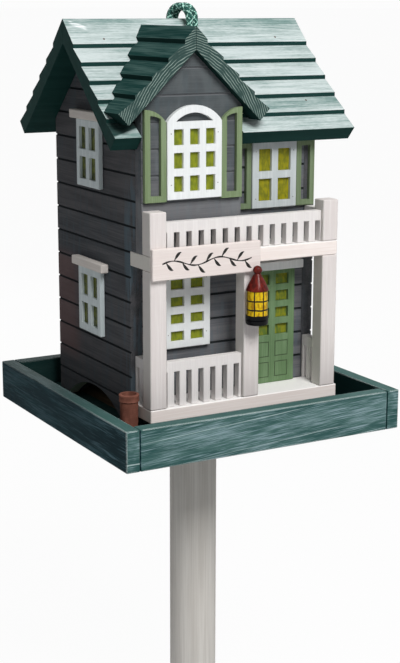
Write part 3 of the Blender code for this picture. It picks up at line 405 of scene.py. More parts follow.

# Siding: grooved softwood walls in flat slate-grey paint, each board a slightly other tone,
# browner low on the left at the back. The side walls and the bay are painted darker, the bay
# darkest under the dormer, as painted shade, and it is paler below its window, as painted light.
# The grooves are painted dark as painted shade; the bay's are painted pale, painted light over
# their shade, and shaded as if nearly filled with paint. The seed ports are sawn bare.

TRAY_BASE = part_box("tray_floor")[0][Z]
FLOOR_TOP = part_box("tray_floor")[1][Z]
BAY_WINDOW_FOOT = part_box("bay_window")[0][Z]
FIRST_BOARD, BOARD_PITCH = 0.0161, 0.0254
HOUSE_MIDDLE = 0.0215
PORT_TOP, PORT_HALF = FLOOR_TOP + 0.0270, 0.085


def shaded(colour, painted_shade):
    return [painted_shade * value for value in colour]


siding = {}
for name in ("left", "right", "front", "back", "bay"):
    along = Y if name in ("left", "right") else X
    coat = new_coat("siding_%s" % name, 0.72, gloss=0.03)
    height = part_of(coat, Z)
    fine = grain(coat, along, 0.0012, 0.050)
    broad = grain(coat, along, 0.0090, 0.120, 6.0)
    board = coat.maths("FLOOR", (height - TRAY_BASE - FIRST_BOARD) / BOARD_PITCH)
    tint = coat.node("ShaderNodeTexWhiteNoise", {"noise_dimensions": "1D"},
                     {"W": board + 0.37 * len(name)}, "Value")
    # The side walls get a darker copy of the paint, and the bay a slightly darker one: painted
    # shade.
    painted_shade = 0.60 if along == Y else 0.84 if name == "bay" else 1.0
    drag = grain(coat, Z, 0.0050, 0.0400, 8.0)
    body = coat.mix(shaded((0.088, 0.096, 0.108), painted_shade), shaded((0.172, 0.174, 0.184), painted_shade),
                    coat.fade(fine * 0.45 + broad * 0.55, 0.34, 0.66))
    body = coat.mix(body, shaded((0.112, 0.142, 0.164), painted_shade), coat.fade(drag, 0.48, 0.66) * 0.6)
    body = coat.mix(body, shaded((0.170, 0.152, 0.154), painted_shade), tint * 0.28)
    if name == "left":
        brown = coat.fade(part_of(coat, Y), 0.040, 0.075) * coat.fade(height, 0.455, 0.475)
        brown = brown * coat.fade(height, 0.585, 0.565)
        body = coat.mix(body, (0.150, 0.092, 0.088), brown * 0.62)
        smear = coat.fade(part_of(coat, Y), -0.046, -0.062) * coat.fade(drag, 0.44, 0.60)
        smear = smear * coat.fade(height, 0.700, 0.640) * 0.55
        body = coat.mix(body, (0.105, 0.150, 0.180), smear)
    # The grooves are painted dark, painted shade; the bay's are painted pale, painted light over
    # their shade.
    painted_groove_tone = (0.014, 0.018, 0.020)
    if name == "bay":
        painted_groove_tone = (0.170, 0.180, 0.190)
        smear = grain(coat, Z, 0.0120, 0.0300, 3.0)
        body = coat.mix(body, (0.185, 0.200, 0.208), coat.fade(smear, 0.46, 0.66) * 0.45)
        # The bay darkens toward its top, under the dormer: painted shade.
        body = coat.mix(body, (0.062, 0.078, 0.080), coat.fade(height, 0.655, 0.745) * 0.55)
        # The bay is paler below its window: painted light.
        painted_light_below = coat.fade(height, BAY_WINDOW_FOOT + 0.006, BAY_WINDOW_FOOT - 0.004)
        body = coat.mix(body, (0.235, 0.235, 0.240), painted_light_below * 0.34)
    groove = coat.fade(abs(facing(coat, Z)), 0.25, 0.45)
    body = coat.mix(body, painted_groove_tone, groove * 0.9)
    rubbed = edges(coat, 0.0006) * coat.fade(grain(coat, along, 0.003, 0.016, 2.0), 0.46, 0.64)
    body = coat.mix(body, (0.230, 0.240, 0.250), rubbed * 0.30 * (1.0 - groove))
    if along == Y:
        sawn = coat.fade(abs(facing(coat, X)), 0.5, 0.3)
        sawn = sawn * coat.fade(height, PORT_TOP + 0.0005, PORT_TOP - 0.0005)
        from_middle = abs(part_of(coat, Y) - HOUSE_MIDDLE)
        in_port = coat.fade(from_middle, PORT_HALF + 0.001, PORT_HALF - 0.001)
        body = coat.mix(body, (0.760, 0.680, 0.540), sawn * in_port * 0.95)
    coat.give("Base Color", body)
    if name == "bay":
        filled = coat.node("ShaderNodeMix", {"data_type": "VECTOR"},
                           {0: groove, 4: coat.eased, 5: (0.0, -1.0, 0.0)}, 1)
        coat.eased = coat.node("ShaderNodeVectorMath", {"operation": "NORMALIZE"}, {0: filled})
    relief(coat, fine * 0.6 + broad * 0.4, 0.00016)
    siding[name] = coat
for name in ("left", "right", "front", "back"):
    dress(siding[name], "wall_" + name)
dress(siding["bay"], "bay_front")
dress(siding["left"], "bay_cheek_left")
dress(siding["right"], "bay_cheek_right")

# Ramps and roof cleats: bare planed pine inside the house, with a plain open grain.
# The ramps are painted dark, as painted shade inside the house, and meet at a ridge on the
# floor; the cleats are pale.

for name, pale, dark, pieces in (("ramp_pine", (0.150, 0.105, 0.064), (0.088, 0.056, 0.032),
                                  ("seed_ramp_left", "seed_ramp_right")),
                                 ("cleat_pine", (0.560, 0.405, 0.245), (0.400, 0.255, 0.135),
                                  ("roof_cleat_left", "roof_cleat_right"))):
    coat = new_coat(name, 0.74)
    fine = grain(coat, Y, 0.0012, 0.060)
    rings = coat.fade(fine * 0.4 + grain(coat, Y, 0.0070, 0.200, 8.0) * 0.6, 0.42, 0.60)
    coat.give("Base Color", coat.mix(pale, dark, rings))
    relief(coat, fine, 0.00014)
    dress(coat, *pieces)

# Porch and balcony: planed posts and boards in thin off-white wash, a little pink from the wood,
# painted greyer on their sides as painted shade, and the boards paler on top as painted light.
# The deck and the porch board carry the posts; the riser under the porch stands back in shade.

# The posts' and boards' side colours are painted shade; the boards' top colour is painted light.
posts = painted_board("post_wash", Z, (0.700, 0.645, 0.625), (0.800, 0.760, 0.740),
                      (0.860, 0.830, 0.800), wear=0.5, depth=0.00012,
                      sides=(0.570, 0.545, 0.515))
boards = painted_board("board_wash", X, (0.850, 0.760, 0.715), (0.930, 0.865, 0.830),
                       (0.930, 0.890, 0.860), wear=0.5, depth=0.00012,
                       top=(0.930, 0.910, 0.890), sides=(0.560, 0.550, 0.505))
dress(posts, "porch_post_left", "porch_post_middle", "porch_post_right", "balcony_post_left",
      "balcony_post_right")
dress(boards, "porch_floor", "porch_riser", "balcony_deck")

# Railings: one board each, slotted up from the lower edge, so that balusters hang from the cap.
# They are painted white all over, in the slots too, and rubbed a little paler on the arrises.

rails = painted_board("rail_wash", Z, (0.740, 0.705, 0.690), (0.830, 0.800, 0.780),
                      (0.880, 0.860, 0.840), roughness=0.60, depth=0.00012)
dress(rails, "balcony_rail_front", "balcony_rail_right", "porch_rail_front", "porch_rail_left",
      "porch_rail_right")

# Windows: milled blocks in white paint, nailed on at the corners, the lights sunk into them.
# Each light has a dab of olive or yellow paint on its floor; lintels are plain strips.
# The side windows' frames and lights, and the balcony window's frame, are painted darker as
# painted shade.

BAR, BAY_BAR = 0.0075, 0.0072
SLIP_SUNK, SLIP_THICK, SLIP_PLAY, SLIP_ROUND = 0.0033, 0.00035, 0.0001, 0.0001


def plates(name, node, outward, columns, bar, rows, coat):
    """Thin slips on the floors of a block's lights: rows are rise and height over its foot."""
    low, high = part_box(node)
    deep = X if abs(outward[X]) > 0.5 else Y
    wide = 1 - deep
    face = (low if outward[deep] < 0 else high)[deep]
    light = (high[wide] - low[wide] - (columns + 1) * bar) / columns
    shape = bmesh.new()
    for column in range(columns):
        start = low[wide] + bar + column * (light + bar)
        for rise, tall in rows:
            middle, size = [0.0] * 3, [0.0] * 3
            middle[deep] = face - outward[deep] * SLIP_SUNK
            middle[wide] = start + light / 2
            middle[Z] = low[Z] + rise + tall / 2
            size[deep] = SLIP_THICK
            size[wide] = light - 2 * SLIP_PLAY
            size[Z] = tall - 2 * SLIP_PLAY
            place = Matrix.Translation(middle) @ Matrix.Diagonal((*size, 1.0))
            bmesh.ops.create_cube(shape, size=1.0, matrix=place)
    bmesh.ops.bevel(shape, geom=list(shape.edges), offset=SLIP_ROUND, segments=2, affect="EDGES",
                    profile=0.5, material=-1)
    return finished(name, shape, coat, "house")


def even(height, count, bar):
    """Rows of equal lights between equal bars, as rise and height."""
    light = (height - (count + 1) * bar) / count
    return [(bar + i * (light + bar), light) for i in range(count)]


def pane_paint(name, colour, deep):
    coat = new_coat(name, 0.35)
    dabs = grain(coat, Z, 0.0022, 0.0080, 3.0)
    patches = grain(coat, X, 0.0060, 0.0060, 1.0)
    share = coat.fade(dabs * 0.5 + patches * 0.5, 0.38, 0.60)
    coat.give("Base Color", coat.mix(deep, colour, share))
    relief(coat, dabs, 0.00020)
    return coat


# The side windows' and the balcony window's frames take greyer copies of the white: painted shade.
for name, colour, streak, worn, pieces in (
        ("frame_white", (0.760, 0.785, 0.785), (0.860, 0.880, 0.880), (0.900, 0.905, 0.900),
         ("window_porch", "bay_window", "door_lintel")),
        ("side_frame_white", (0.580, 0.650, 0.660), (0.740, 0.800, 0.805), (0.820, 0.840, 0.840),
         ("window_left_lower", "window_left_upper", "window_right_lower", "window_right_upper")),
        ("balcony_frame_white", (0.500, 0.540, 0.545), (0.610, 0.645, 0.650),
         (0.760, 0.780, 0.780), ("window_balcony",))):
    dress(painted_board(name, Z, colour, streak, worn, roughness=0.55, width=0.0006), *pieces)
lintels = painted_board("lintel_white", Y, (0.640, 0.590, 0.545), (0.740, 0.700, 0.660),
                        (0.840, 0.800, 0.770), roughness=0.60)
dress(lintels, "lintel_left_lower", "lintel_left_upper", "lintel_right_lower",
      "lintel_right_upper")

olive = pane_paint("olive_light", (0.235, 0.265, 0.018), (0.140, 0.175, 0.020))
yellow = pane_paint("yellow_light", (0.300, 0.275, 0.012), (0.165, 0.170, 0.015))
# The side windows' lights take a darker olive: painted shade.
shaded_olive = pane_paint("shaded_olive_light", (0.130, 0.150, 0.024), (0.030, 0.042, 0.018))
FRONT = (0.0, -1.0, 0.0)
plates("bay_lights", "bay_window", FRONT, 3, BAY_BAR, even(0.0745, 3, BAY_BAR), olive)
plates("balcony_lights", "window_balcony", FRONT, 2, BAR, even(0.0680, 2, BAR), yellow)
plates("porch_lights", "window_porch", FRONT, 2, BAR, even(0.0780, 4, BAR), olive)
for side, way in (("left", -1.0), ("right", 1.0)):
    for storey in ("lower", "upper"):
        plates("%s_%s_lights" % (side, storey), "window_%s_%s" % (side, storey),
               (way, 0.0, 0.0), 2, BAR, even(0.0680, 2, BAR), shaded_olive)

iron = new_coat("nail_iron", 0.55, 0.6, 0.5)
iron_marks = grain(iron, Z, 0.0004, 0.0004)
iron.give("Base Color", iron.mix((0.055, 0.050, 0.046), (0.160, 0.110, 0.080), iron_marks))
NAIL_R, ROOF_NAIL_R, NAIL_THICK = 0.00055, 0.0014, 0.0002


def nail_heads(name, spots, way, radius, body):
    """Small flat nail heads, driven just proud of a face."""
    shape = bmesh.new()
    turned = Vector(way).to_track_quat("Z", "Y").to_matrix().to_4x4()
    for spot in spots:
        bmesh.ops.create_cone(shape, cap_ends=True, segments=12, radius1=radius,
                              radius2=radius * 0.7, depth=NAIL_THICK,
                              matrix=Matrix.Translation(spot) @ turned)
    return finished(name, shape, iron, body)


def corner_spots(node, inset, drop, rise):
    """Places in a block's front face, in from its corners, lower at the top, higher at the foot."""
    low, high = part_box(node)
    return [(x, low[Y] - 0.00005, z) for x in (low[X] + inset, high[X] - inset)
            for z in (low[Z] + inset + rise, high[Z] - inset - drop)]


window_nails = corner_spots("bay_window", 0.0042, drop=0.0225, rise=0.010)
window_nails += corner_spots("window_balcony", 0.0040, drop=0.006, rise=0.006)
window_nails += corner_spots("window_porch", 0.0045, drop=0.003, rise=0.010)
nail_heads("window_nails", window_nails, FRONT, NAIL_R, "house")

# Shutters: flat open frames in sage-green paint, beside the arched and the balcony window.
# Two have a rounded shoulder; all four are nailed flat to the wall with no louvres.

# The balcony window's pair takes a darker copy of the sage: painted shade under the eaves.
for name, colour, streak, worn, window in (
        ("shutter_sage", (0.170, 0.230, 0.118), (0.246, 0.312, 0.190), (0.370, 0.430, 0.310),
         "bay"),
        ("balcony_shutter_sage", (0.150, 0.202, 0.110), (0.215, 0.272, 0.172),
         (0.320, 0.370, 0.270), "balcony")):
    sage = painted_board(name, Z, colour, streak, worn, amount=0.75, wear=0.45, roughness=0.60,
                         width=0.0006)
    dress(sage, window + "_shutter_left", window + "_shutter_right")

# Door: one block in leaf-green paint, four rows of yellow lights over two rows of panels.
# The lights are sunk into it, the panels are only scribed round with a fine groove, and
# nothing opens.

LIGHT_FOOT, LIGHT_PITCH, LIGHT_TALL, LIGHT_DEEP = 0.0512, 0.0178, 0.0112, 0.0036
LOWER_PANEL, UPPER_PANEL, PANEL_TALL, GROOVE = 0.0061, 0.0280, 0.0161, 0.0006
light_rows = [(LIGHT_FOOT + i * LIGHT_PITCH, LIGHT_TALL) for i in range(4)]
panel_rows = [(LOWER_PANEL, PANEL_TALL), (UPPER_PANEL, PANEL_TALL)]
door_low, door_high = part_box("door")
door_centre = midpoint(door_low, door_high)
door_size = [end - start for start, end in zip(door_low, door_high)]
door_leaf = (door_size[X] - 3 * BAR) / 2
leaf_offset = (BAR + door_leaf) / 2

door_coat = new_coat("door_green", 0.55)
door_fine = grain(door_coat, Z, 0.0012, 0.040)
door_broad = grain(door_coat, Z, 0.0080, 0.090, 5.0)
door_body = door_coat.mix((0.105, 0.180, 0.082), (0.165, 0.255, 0.134),
                          door_coat.fade(door_fine * 0.4 + door_broad * 0.6, 0.36, 0.64))
panels_middle = door_low[Z] + (LOWER_PANEL + UPPER_PANEL + PANEL_TALL) / 2
panels_apart = (UPPER_PANEL - LOWER_PANEL) / 2
beside = abs(abs(part_of(door_coat, X) - door_centre[X]) - leaf_offset) - door_leaf / 2
beyond = abs(abs(part_of(door_coat, Z) - panels_middle) - panels_apart) - PANEL_TALL / 2
scribed = abs(door_coat.maths("MAXIMUM", beside, beyond) + GROOVE / 2)
scribe_line = door_coat.fade(scribed, 0.0006, 0.0002)
door_rub = edges(door_coat, 0.0007) * 0.25
door_body = door_coat.mix(door_body, (0.030, 0.050, 0.022), scribe_line * 0.8)
door_coat.give("Base Color", door_coat.mix(door_body, (0.340, 0.430, 0.260), door_rub))
relief(door_coat, door_fine * 0.6 + door_broad * 0.4, 0.00012)

shape = bmesh.new()
place = Matrix.Translation(door_centre) @ Matrix.Diagonal((*door_size, 1.0))
bmesh.ops.create_cube(shape, size=1.0, matrix=place)
cuts = [((door_low[X] + start + step, 0.0, 0.0), (1.0, 0.0, 0.0))
        for start in (BAR, 2 * BAR + door_leaf) for step in (0.0, door_leaf)]
cuts += [((0.0, 0.0, door_low[Z] + foot + step), (0.0, 0.0, 1.0))
         for foot, tall in panel_rows + light_rows for step in (0.0, tall)]
for place, way in cuts:
    bmesh.ops.bisect_plane(shape, geom=shape.verts[:] + shape.edges[:] + shape.faces[:],
                           plane_co=place, plane_no=way)


def faces_in(rows):
    """The front faces that lie in these rows, between the door's stiles."""
    found = []
    for face in shape.faces:
        centre = face.calc_center_median()
        in_leaf = abs(abs(centre.x - door_centre[X]) - leaf_offset) < door_leaf / 2
        in_row = any(foot < centre.z - door_low[Z] < foot + tall for foot, tall in rows)
        if face.normal.y < -0.9 and in_leaf and in_row:
            found.append(face)
    return found


shape.normal_update()
sunk = bmesh.ops.extrude_discrete_faces(shape, faces=faces_in(light_rows))["faces"]
bmesh.ops.translate(shape, verts=list({corner for face in sunk for corner in face.verts}),
                    vec=(0.0, LIGHT_DEEP, 0.0))
rims = bmesh.ops.inset_individual(shape, faces=faces_in(panel_rows), thickness=GROOVE)["faces"]
deep = bmesh.ops.extrude_face_region(shape, geom=rims)["geom"]
bmesh.ops.translate(shape, verts=[item for item in deep if isinstance(item, bmesh.types.BMVert)],
                    vec=(0.0, GROOVE, 0.0))
bmesh.ops.delete(shape, geom=[face for face in rims if face.is_valid], context="FACES_ONLY")
bmesh.ops.recalc_face_normals(shape, faces=shape.faces)
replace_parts(finished("door_block", shape, door_coat, "house"), "door")
plates("door_lights", "door", FRONT, 2, BAR, light_rows,
       pane_paint("door_light", (0.235, 0.240, 0.018), (0.100, 0.155, 0.028)))

# Roof: two thick boards milled into six laps each, mitred at the ridge, in teal stain.
# A pale wash, part whitewash and part painted sheen, lies on the upper faces, thinner on the
# lowest laps; lips and ends stay dark. The last lap is painted dark under the dormer's left
# foot, a painted shadow of the dormer, and the ridge has a near-white painted highlight at its
# left end.

FIRST_RUN, LAP_RUN, FIRST_DROP, LAP_DROP = 0.0244, 0.0184, 0.0240, 0.0128
SHADOW_SLANT, SHADOW_SHIFT = 18.0, 1.566
HIGHLIGHT_LEFT, HIGHLIGHT_OUT, HIGHLIGHT_SLANT = 0.123, 0.0066, 0.34
roof_coat = new_coat("roof_stain", 0.50, gloss=0.015)
out = abs(part_of(roof_coat, Y) - HOUSE_MIDDLE)
lap = (out - FIRST_RUN) / LAP_RUN
lower_laps = roof_coat.maths("GREATER_THAN", lap)
down = (out / FIRST_RUN) * (1.0 - lower_laps) + roof_coat.maths("FRACT", lap) * lower_laps
number = roof_coat.maths("FLOOR", lap)
each = roof_coat.node("ShaderNodeTexWhiteNoise", {"noise_dimensions": "1D"}, {"W": number + 0.5},
                      "Value")
fine = grain(roof_coat, X, 0.0008, 0.050, detail=9.0)
broad = grain(roof_coat, X, 0.0080, 0.130, 11.0)
cloud = grain(roof_coat, X, 0.0300, 0.060, 4.0)
flecks = grain(roof_coat, X, 0.0010, 0.0060, 14.0, 3.0)
sideways = part_of(roof_coat, X)
last_laps = roof_coat.maths("GREATER_THAN", lap, 3.0)
left_laps = roof_coat.maths("GREATER_THAN", lap, 1.0) * roof_coat.fade(sideways, -0.060, -0.100)
greener = last_laps * 0.030 + roof_coat.fade(out, 0.0065, 0.0045) * 0.015
greener = greener + roof_coat.fade(sideways, 0.080, 0.140) * 0.008
greener = greener + left_laps * 0.032
# The pale wash is part whitewash, part painted sheen on the upper faces.
wash_and_sheen_strength = fine * 0.38 + broad * 0.24 + cloud * 0.22 + flecks * 0.16
wash_and_sheen_strength = wash_and_sheen_strength + down * 0.05 + each * 0.03 + lower_laps * 0.030
wash_and_sheen = roof_coat.fade(wash_and_sheen_strength - greener, 0.40, 0.65)
upper = roof_coat.fade(facing(roof_coat, Z), 0.35, 0.55)
stain = roof_coat.mix((0.006, 0.026, 0.023), (0.018, 0.056, 0.050), broad)
face = roof_coat.mix((0.135, 0.240, 0.220), (0.620, 0.690, 0.680), wash_and_sheen)
rubbed = edges(roof_coat, 0.0006)
rubbed = rubbed * roof_coat.fade(grain(roof_coat, X, 0.003, 0.030, 2.0), 0.40, 0.60)
front_slope = roof_coat.maths("LESS_THAN", part_of(roof_coat, Y), HOUSE_MIDDLE)
# Painted shadow of the dormer: the last lap is kept dark left of the dormer's foot.
painted_dormer_shadow = roof_coat.fade(down + sideways * SHADOW_SLANT + SHADOW_SHIFT, 0.06, -0.06)
painted_dormer_shadow = painted_dormer_shadow * roof_coat.fade(sideways, -0.100, -0.106)
painted_dormer_shadow = painted_dormer_shadow * roof_coat.maths("GREATER_THAN", lap, 4.0) * front_slope
face = roof_coat.mix(face, (0.010, 0.038, 0.034), painted_dormer_shadow * 0.92)
# Painted highlight: a near-white streak along the ridge at its left end.
from_highlight = sideways + HIGHLIGHT_LEFT
off_highlight = abs(out - HIGHLIGHT_OUT - from_highlight * HIGHLIGHT_SLANT)
ridge_highlight = roof_coat.fade(abs(from_highlight), 0.0100, 0.0050) * roof_coat.fade(fine, 0.36, 0.50)
ridge_highlight = ridge_highlight * roof_coat.fade(off_highlight, 0.0028, 0.0012)
face = roof_coat.mix(face, (0.860, 0.900, 0.900), ridge_highlight * front_slope)
roof_body = roof_coat.mix(stain, face, upper)
roof_body = roof_coat.mix(roof_body, (0.420, 0.540, 0.520), rubbed * upper * 0.30)
roof_coat.give("Base Color", roof_body)
relief(roof_coat, fine * 0.6 + broad * 0.4, 0.00025)
dress(roof_coat, "roof_front", "roof_back")
first_slope = Vector((0.0, -FIRST_DROP, FIRST_RUN)).normalized()
nail_heads("roof_nails_upper", [(-0.1006, 0.0017, 0.80175), (0.0996, 0.0019, 0.80195)],
           first_slope, ROOF_NAIL_R, "roof")
lap_slope = Vector((0.0, -LAP_DROP, LAP_RUN)).normalized()
nail_heads("roof_nail_lower", [(0.0980, -0.0620, 0.73975)], lap_slope, ROOF_NAIL_R, "roof")

# Dormer: two shorter boards milled the same way, scribed down over the laps of the front slope.
# Stained dark green; their front ends are sawn along the slope and show curved pale growth rings.

BAY_X = (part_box("bay_front")[0][X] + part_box("bay_front")[1][X]) / 2
DORMER_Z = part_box("dormer_roof_left")[1][Z]
SLOPE_SIN, SLOPE_COS = 0.690, 0.724
RING_PITCH, BEND_FROM = 0.0026, 0.050
dormer_coat = new_coat("dormer_stain", 0.55, gloss=0.0)
side = abs(part_of(dormer_coat, X) - BAY_X)
rise = part_of(dormer_coat, Z) - DORMER_Z
across_slope = side * SLOPE_SIN + rise * SLOPE_COS
down_slope = side * SLOPE_COS - rise * SLOPE_SIN
near = dormer_coat.maths("LESS_THAN", down_slope, BEND_FROM)
bend = (down_slope - BEND_FROM) * (down_slope - BEND_FROM) * (4.2 + near * 3.3)
wander = grain(dormer_coat, X, 0.0140, 0.0140, 6.0, 3.0)
ring = (across_slope + bend + wander * 0.004) * (math.tau / RING_PITCH)
rings = dormer_coat.fade(dormer_coat.maths("SINE", ring), 0.35, 1.0)
fine = grain(dormer_coat, Y, 0.0010, 0.040)
broad = grain(dormer_coat, Y, 0.0070, 0.100, 3.0)
upper = dormer_coat.fade(facing(dormer_coat, Z), 0.35, 0.55)
end = dormer_coat.fade(facing(dormer_coat, Y), -0.5, -0.8)
stain = dormer_coat.mix((0.006, 0.022, 0.020), (0.016, 0.042, 0.038), broad)
top = dormer_coat.mix((0.015, 0.053, 0.048), (0.068, 0.130, 0.118),
                      dormer_coat.fade(fine * 0.5 + broad * 0.5, 0.40, 0.66))
sawn = dormer_coat.mix((0.040, 0.074, 0.068), (0.260, 0.335, 0.300),
                       rings * dormer_coat.fade(wander, 0.30, 0.55))
body = dormer_coat.mix(dormer_coat.mix(stain, top, upper), sawn, end)
rubbed = edges(dormer_coat, 0.0006) * dormer_coat.fade(broad, 0.42, 0.60) * upper
dormer_coat.give("Base Color", dormer_coat.mix(body, (0.280, 0.380, 0.360), rubbed * 0.35))
relief(dormer_coat, fine * 0.5 + rings * end * 0.5, 0.00030)
dress(dormer_coat, "dormer_roof_left", "dormer_roof_right")

# Lifting cord: a sixteen-strand braid, dark green with mint picks, two turns through the ridge.
# Eight strands run each way round and pass over and under each other.

CORD_X, FOOT_Z, HEAD_Z, HALF_SPAN, TURN_PITCH = -0.0018, 0.7803, 0.8207, 0.0130, 0.0086
BRAID_PITCH, BRAID_REACH, BRAID_LIFT, STRAND_R = 0.0180, 0.0029, 0.00030, 0.00075
skew = math.radians(23.0)
cross = Vector((math.sin(skew), -math.cos(skew), 0.0))
aside = Vector((math.cos(skew), math.sin(skew), 0.0))
route = []
for loop in range(2):
    for leg, count in enumerate((24, 48, 48, 48, 24)):
        for i in range(count):
            t = i / count
            angle, z, step = ((math.pi / 2 * (t - 1), FOOT_Z, 0.5 * (t - 1)),
                              (0.0, FOOT_Z + (HEAD_Z - FOOT_Z) * t, 0.0),
                              (math.pi * t, HEAD_Z, 0.0),
                              (math.pi, HEAD_Z + (FOOT_Z - HEAD_Z) * t, 0.0),
                              (math.pi * (1 + t / 2), FOOT_Z, 0.5 * t))[leg]
            shift = TURN_PITCH * (loop - 0.5 + step)
            point = Vector((CORD_X, HOUSE_MIDDLE, z + HALF_SPAN * math.sin(angle)))
            route.append(point + cross * HALF_SPAN * math.cos(angle) + aside * shift)


def strand(curve, phase, way):
    """One strand of the braid, a little further out where it passes over."""
    line = curve.splines.new("POLY")
    line.points.add(len(route) - 1)
    run = 0.0
    frame_out = aside.copy()
    for i, point in enumerate(route):
        tangent = (route[min(i + 1, len(route) - 1)] - route[max(i - 1, 0)]).normalized()
        frame_out = (frame_out - tangent * frame_out.dot(tangent)).normalized()
        frame_up = tangent.cross(frame_out)
        if i:
            run += (point - route[i - 1]).length
        twist = math.tau * run / BRAID_PITCH
        reach = BRAID_REACH + way * BRAID_LIFT * math.cos(8 * twist)
        angle = way * twist + phase
        spot = point + (frame_out * math.cos(angle) + frame_up * math.sin(angle)) * reach
        line.points[i].co = (*spot, 1.0)


def round_curve(name, radius, resolution):
    """An empty curve whose lines come out round and capped."""
    curve = bpy.data.curves.new(name, "CURVE")
    curve.dimensions = "3D"
    curve.bevel_depth = radius
    curve.bevel_resolution = resolution
    curve.use_fill_caps = True
    return curve


def traced(curve):
    """A bmesh of a curve's finished shape, its doubled corners merged."""
    pattern = bpy.data.objects.new(curve.name + "_pattern", curve)
    bpy.context.scene.collection.objects.link(pattern)
    depsgraph = bpy.context.evaluated_depsgraph_get()
    made = bpy.data.meshes.new_from_object(pattern.evaluated_get(depsgraph))
    bpy.data.objects.remove(pattern)
    shape = bmesh.new()
    shape.from_mesh(made)
    bmesh.ops.remove_doubles(shape, verts=shape.verts, dist=0.000001)
    return shape


cord_pieces = []
for name, colour, deep, forward_picks, backward_picks in (
        ("cord_green", (0.022, 0.130, 0.100), (0.004, 0.030, 0.024), (0, 1, 2, 4, 5, 6),
         (1, 2, 4, 5, 7)),
        ("cord_mint", (0.560, 0.900, 0.780), (0.040, 0.240, 0.180), (3, 7), (0, 3, 6))):
    coat = new_coat(name, 0.70)
    coat.shader.inputs["Sheen Weight"].default_value = 0.3
    yarn = grain(coat, Z, 0.0012, 0.0024)
    coat.give("Base Color", coat.mix(deep, colour, coat.fade(yarn, 0.36, 0.58)))
    relief(coat, yarn, 0.00012)
    curve = round_curve(name, STRAND_R, 1)
    for way, picks in ((1, forward_picks), (-1, backward_picks)):
        for pick in picks:
            strand(curve, pick * math.pi / 4, way)
    cord_pieces.append(finished(name, traced(curve), coat, "roof", 60))
for piece in cord_pieces:
    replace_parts(piece, "lifting_cord")

# Sign: a thin whitewashed board nailed across the deck's edge and the left post.
# A leafy sprig is brushed along it in black, a wavy stem with leaves to either side.

SPRIG_HALF, WAVE_HIGH, WAVE_LONG = 0.0500, 0.0030, 0.052
FIRST_LEAF, LEAF_PITCH, LEAF_SIZE = -0.0460, 0.0088, 0.0080
PAINT_THIN, PAINT_PROUD = 0.10, 0.00002
sign_coat = painted_board("sign_wash", X, (0.750, 0.665, 0.630), (0.850, 0.785, 0.750),
                          (0.890, 0.850, 0.820), amount=0.6)
dress(sign_coat, "sign_board")
sign_low, sign_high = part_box("sign_board")
sign_centre = midpoint(sign_low, sign_high)
black = new_coat("sprig_black", 0.45)
brush = grain(black, X, 0.0005, 0.0040)
black.give("Base Color", black.mix((0.010, 0.010, 0.010), (0.040, 0.038, 0.034), brush))
sprig = round_curve("sprig", 0.001, 2)


def stroke(points):
    """One brush stroke: places in the sign's face, each with half its width in millimetres."""
    line = sprig.splines.new("POLY")
    line.points.add(len(points) - 1)
    for target, (x, z, half) in zip(line.points, points):
        target.co = (x, 0.0, z, 1.0)
        target.radius = half


def stem(x):
    """How high the wavy stem runs at a place along the sign."""
    return WAVE_HIGH * math.sin(x * math.tau / WAVE_LONG)


stem_points = []
for i in range(61):
    x = -SPRIG_HALF + 2 * SPRIG_HALF * i / 60
    stem_points.append((x, stem(x), 0.70 + 0.20 * math.sin(i * 0.7)))
stroke(stem_points)
for i in range(11):
    root = FIRST_LEAF + i * LEAF_PITCH
    way = 1 if i % 2 else -1
    leaf = []
    for k in range(15):
        t = k / 14
        z = stem(root) + way * LEAF_SIZE * math.sin(t * math.pi / 2)
        leaf.append((root + LEAF_SIZE * t, z, 0.30 + 1.25 * math.sin(math.pi * t) ** 1.4))
    stroke(leaf)
shape = traced(sprig)
bmesh.ops.scale(shape, verts=shape.verts, vec=(1.0, PAINT_THIN, 1.0))
bmesh.ops.translate(shape, verts=shape.verts,
                    vec=(sign_centre[X], sign_low[Y] - PAINT_PROUD, sign_centre[Z]))
finished("sign_sprig", shape, black, "house", 50)

# Lantern: turned wood in gloss paint, oxblood cone and ball, yellow light, black foot.
# The light is ruled into panes with black lines; a flat at its back is glued to the post.

CONE_TOP, CONE_TALL, NECK_R, BALL_R = 0.0514, 0.0159, 0.0030, 0.0045
PANES_ROUND, PANE_TURN, PANE_HEIGHTS = 7, 0.15, (0.0155, 0.0245)
lantern_low, lantern_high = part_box("lantern")
lantern_r = (lantern_high[X] - lantern_low[X]) / 2
lantern_x = (lantern_low[X] + lantern_high[X]) / 2
lantern_y = lantern_low[Y] + lantern_r
lantern_coat = new_coat("lantern_gloss", 0.30, 0.0, 0.04)
lantern_coat.shader.inputs["Coat Weight"].default_value = 0.14
lantern_coat.shader.inputs["Coat Roughness"].default_value = 0.10
up = part_of(lantern_coat, Z) - lantern_low[Z]
round_it = lantern_coat.maths("ARCTAN2", part_of(lantern_coat, Y) - lantern_y,
                              part_of(lantern_coat, X) - lantern_x)
up = up + (grain(lantern_coat, X, 0.0040, 0.0040, 2.0) * 0.0012 - 0.0006)
blotch = grain(lantern_coat, Z, 0.0030, 0.0060, 5.0)
red = lantern_coat.mix((0.060, 0.007, 0.005), (0.150, 0.014, 0.009),
                       lantern_coat.fade(blotch, 0.38, 0.64))
gold = lantern_coat.mix((0.380, 0.200, 0.004), (0.720, 0.480, 0.009),
                        lantern_coat.fade(blotch, 0.34, 0.56))
across_pane = lantern_coat.maths("FRACT", round_it * (PANES_ROUND / math.tau) + PANE_TURN)
bars = lantern_coat.fade(abs(across_pane - 0.5), 0.080, 0.052)
for pane_height in PANE_HEIGHTS:
    bars = lantern_coat.maths("MAXIMUM", bars,
                              lantern_coat.fade(abs(up - pane_height), 0.0010, 0.0006))
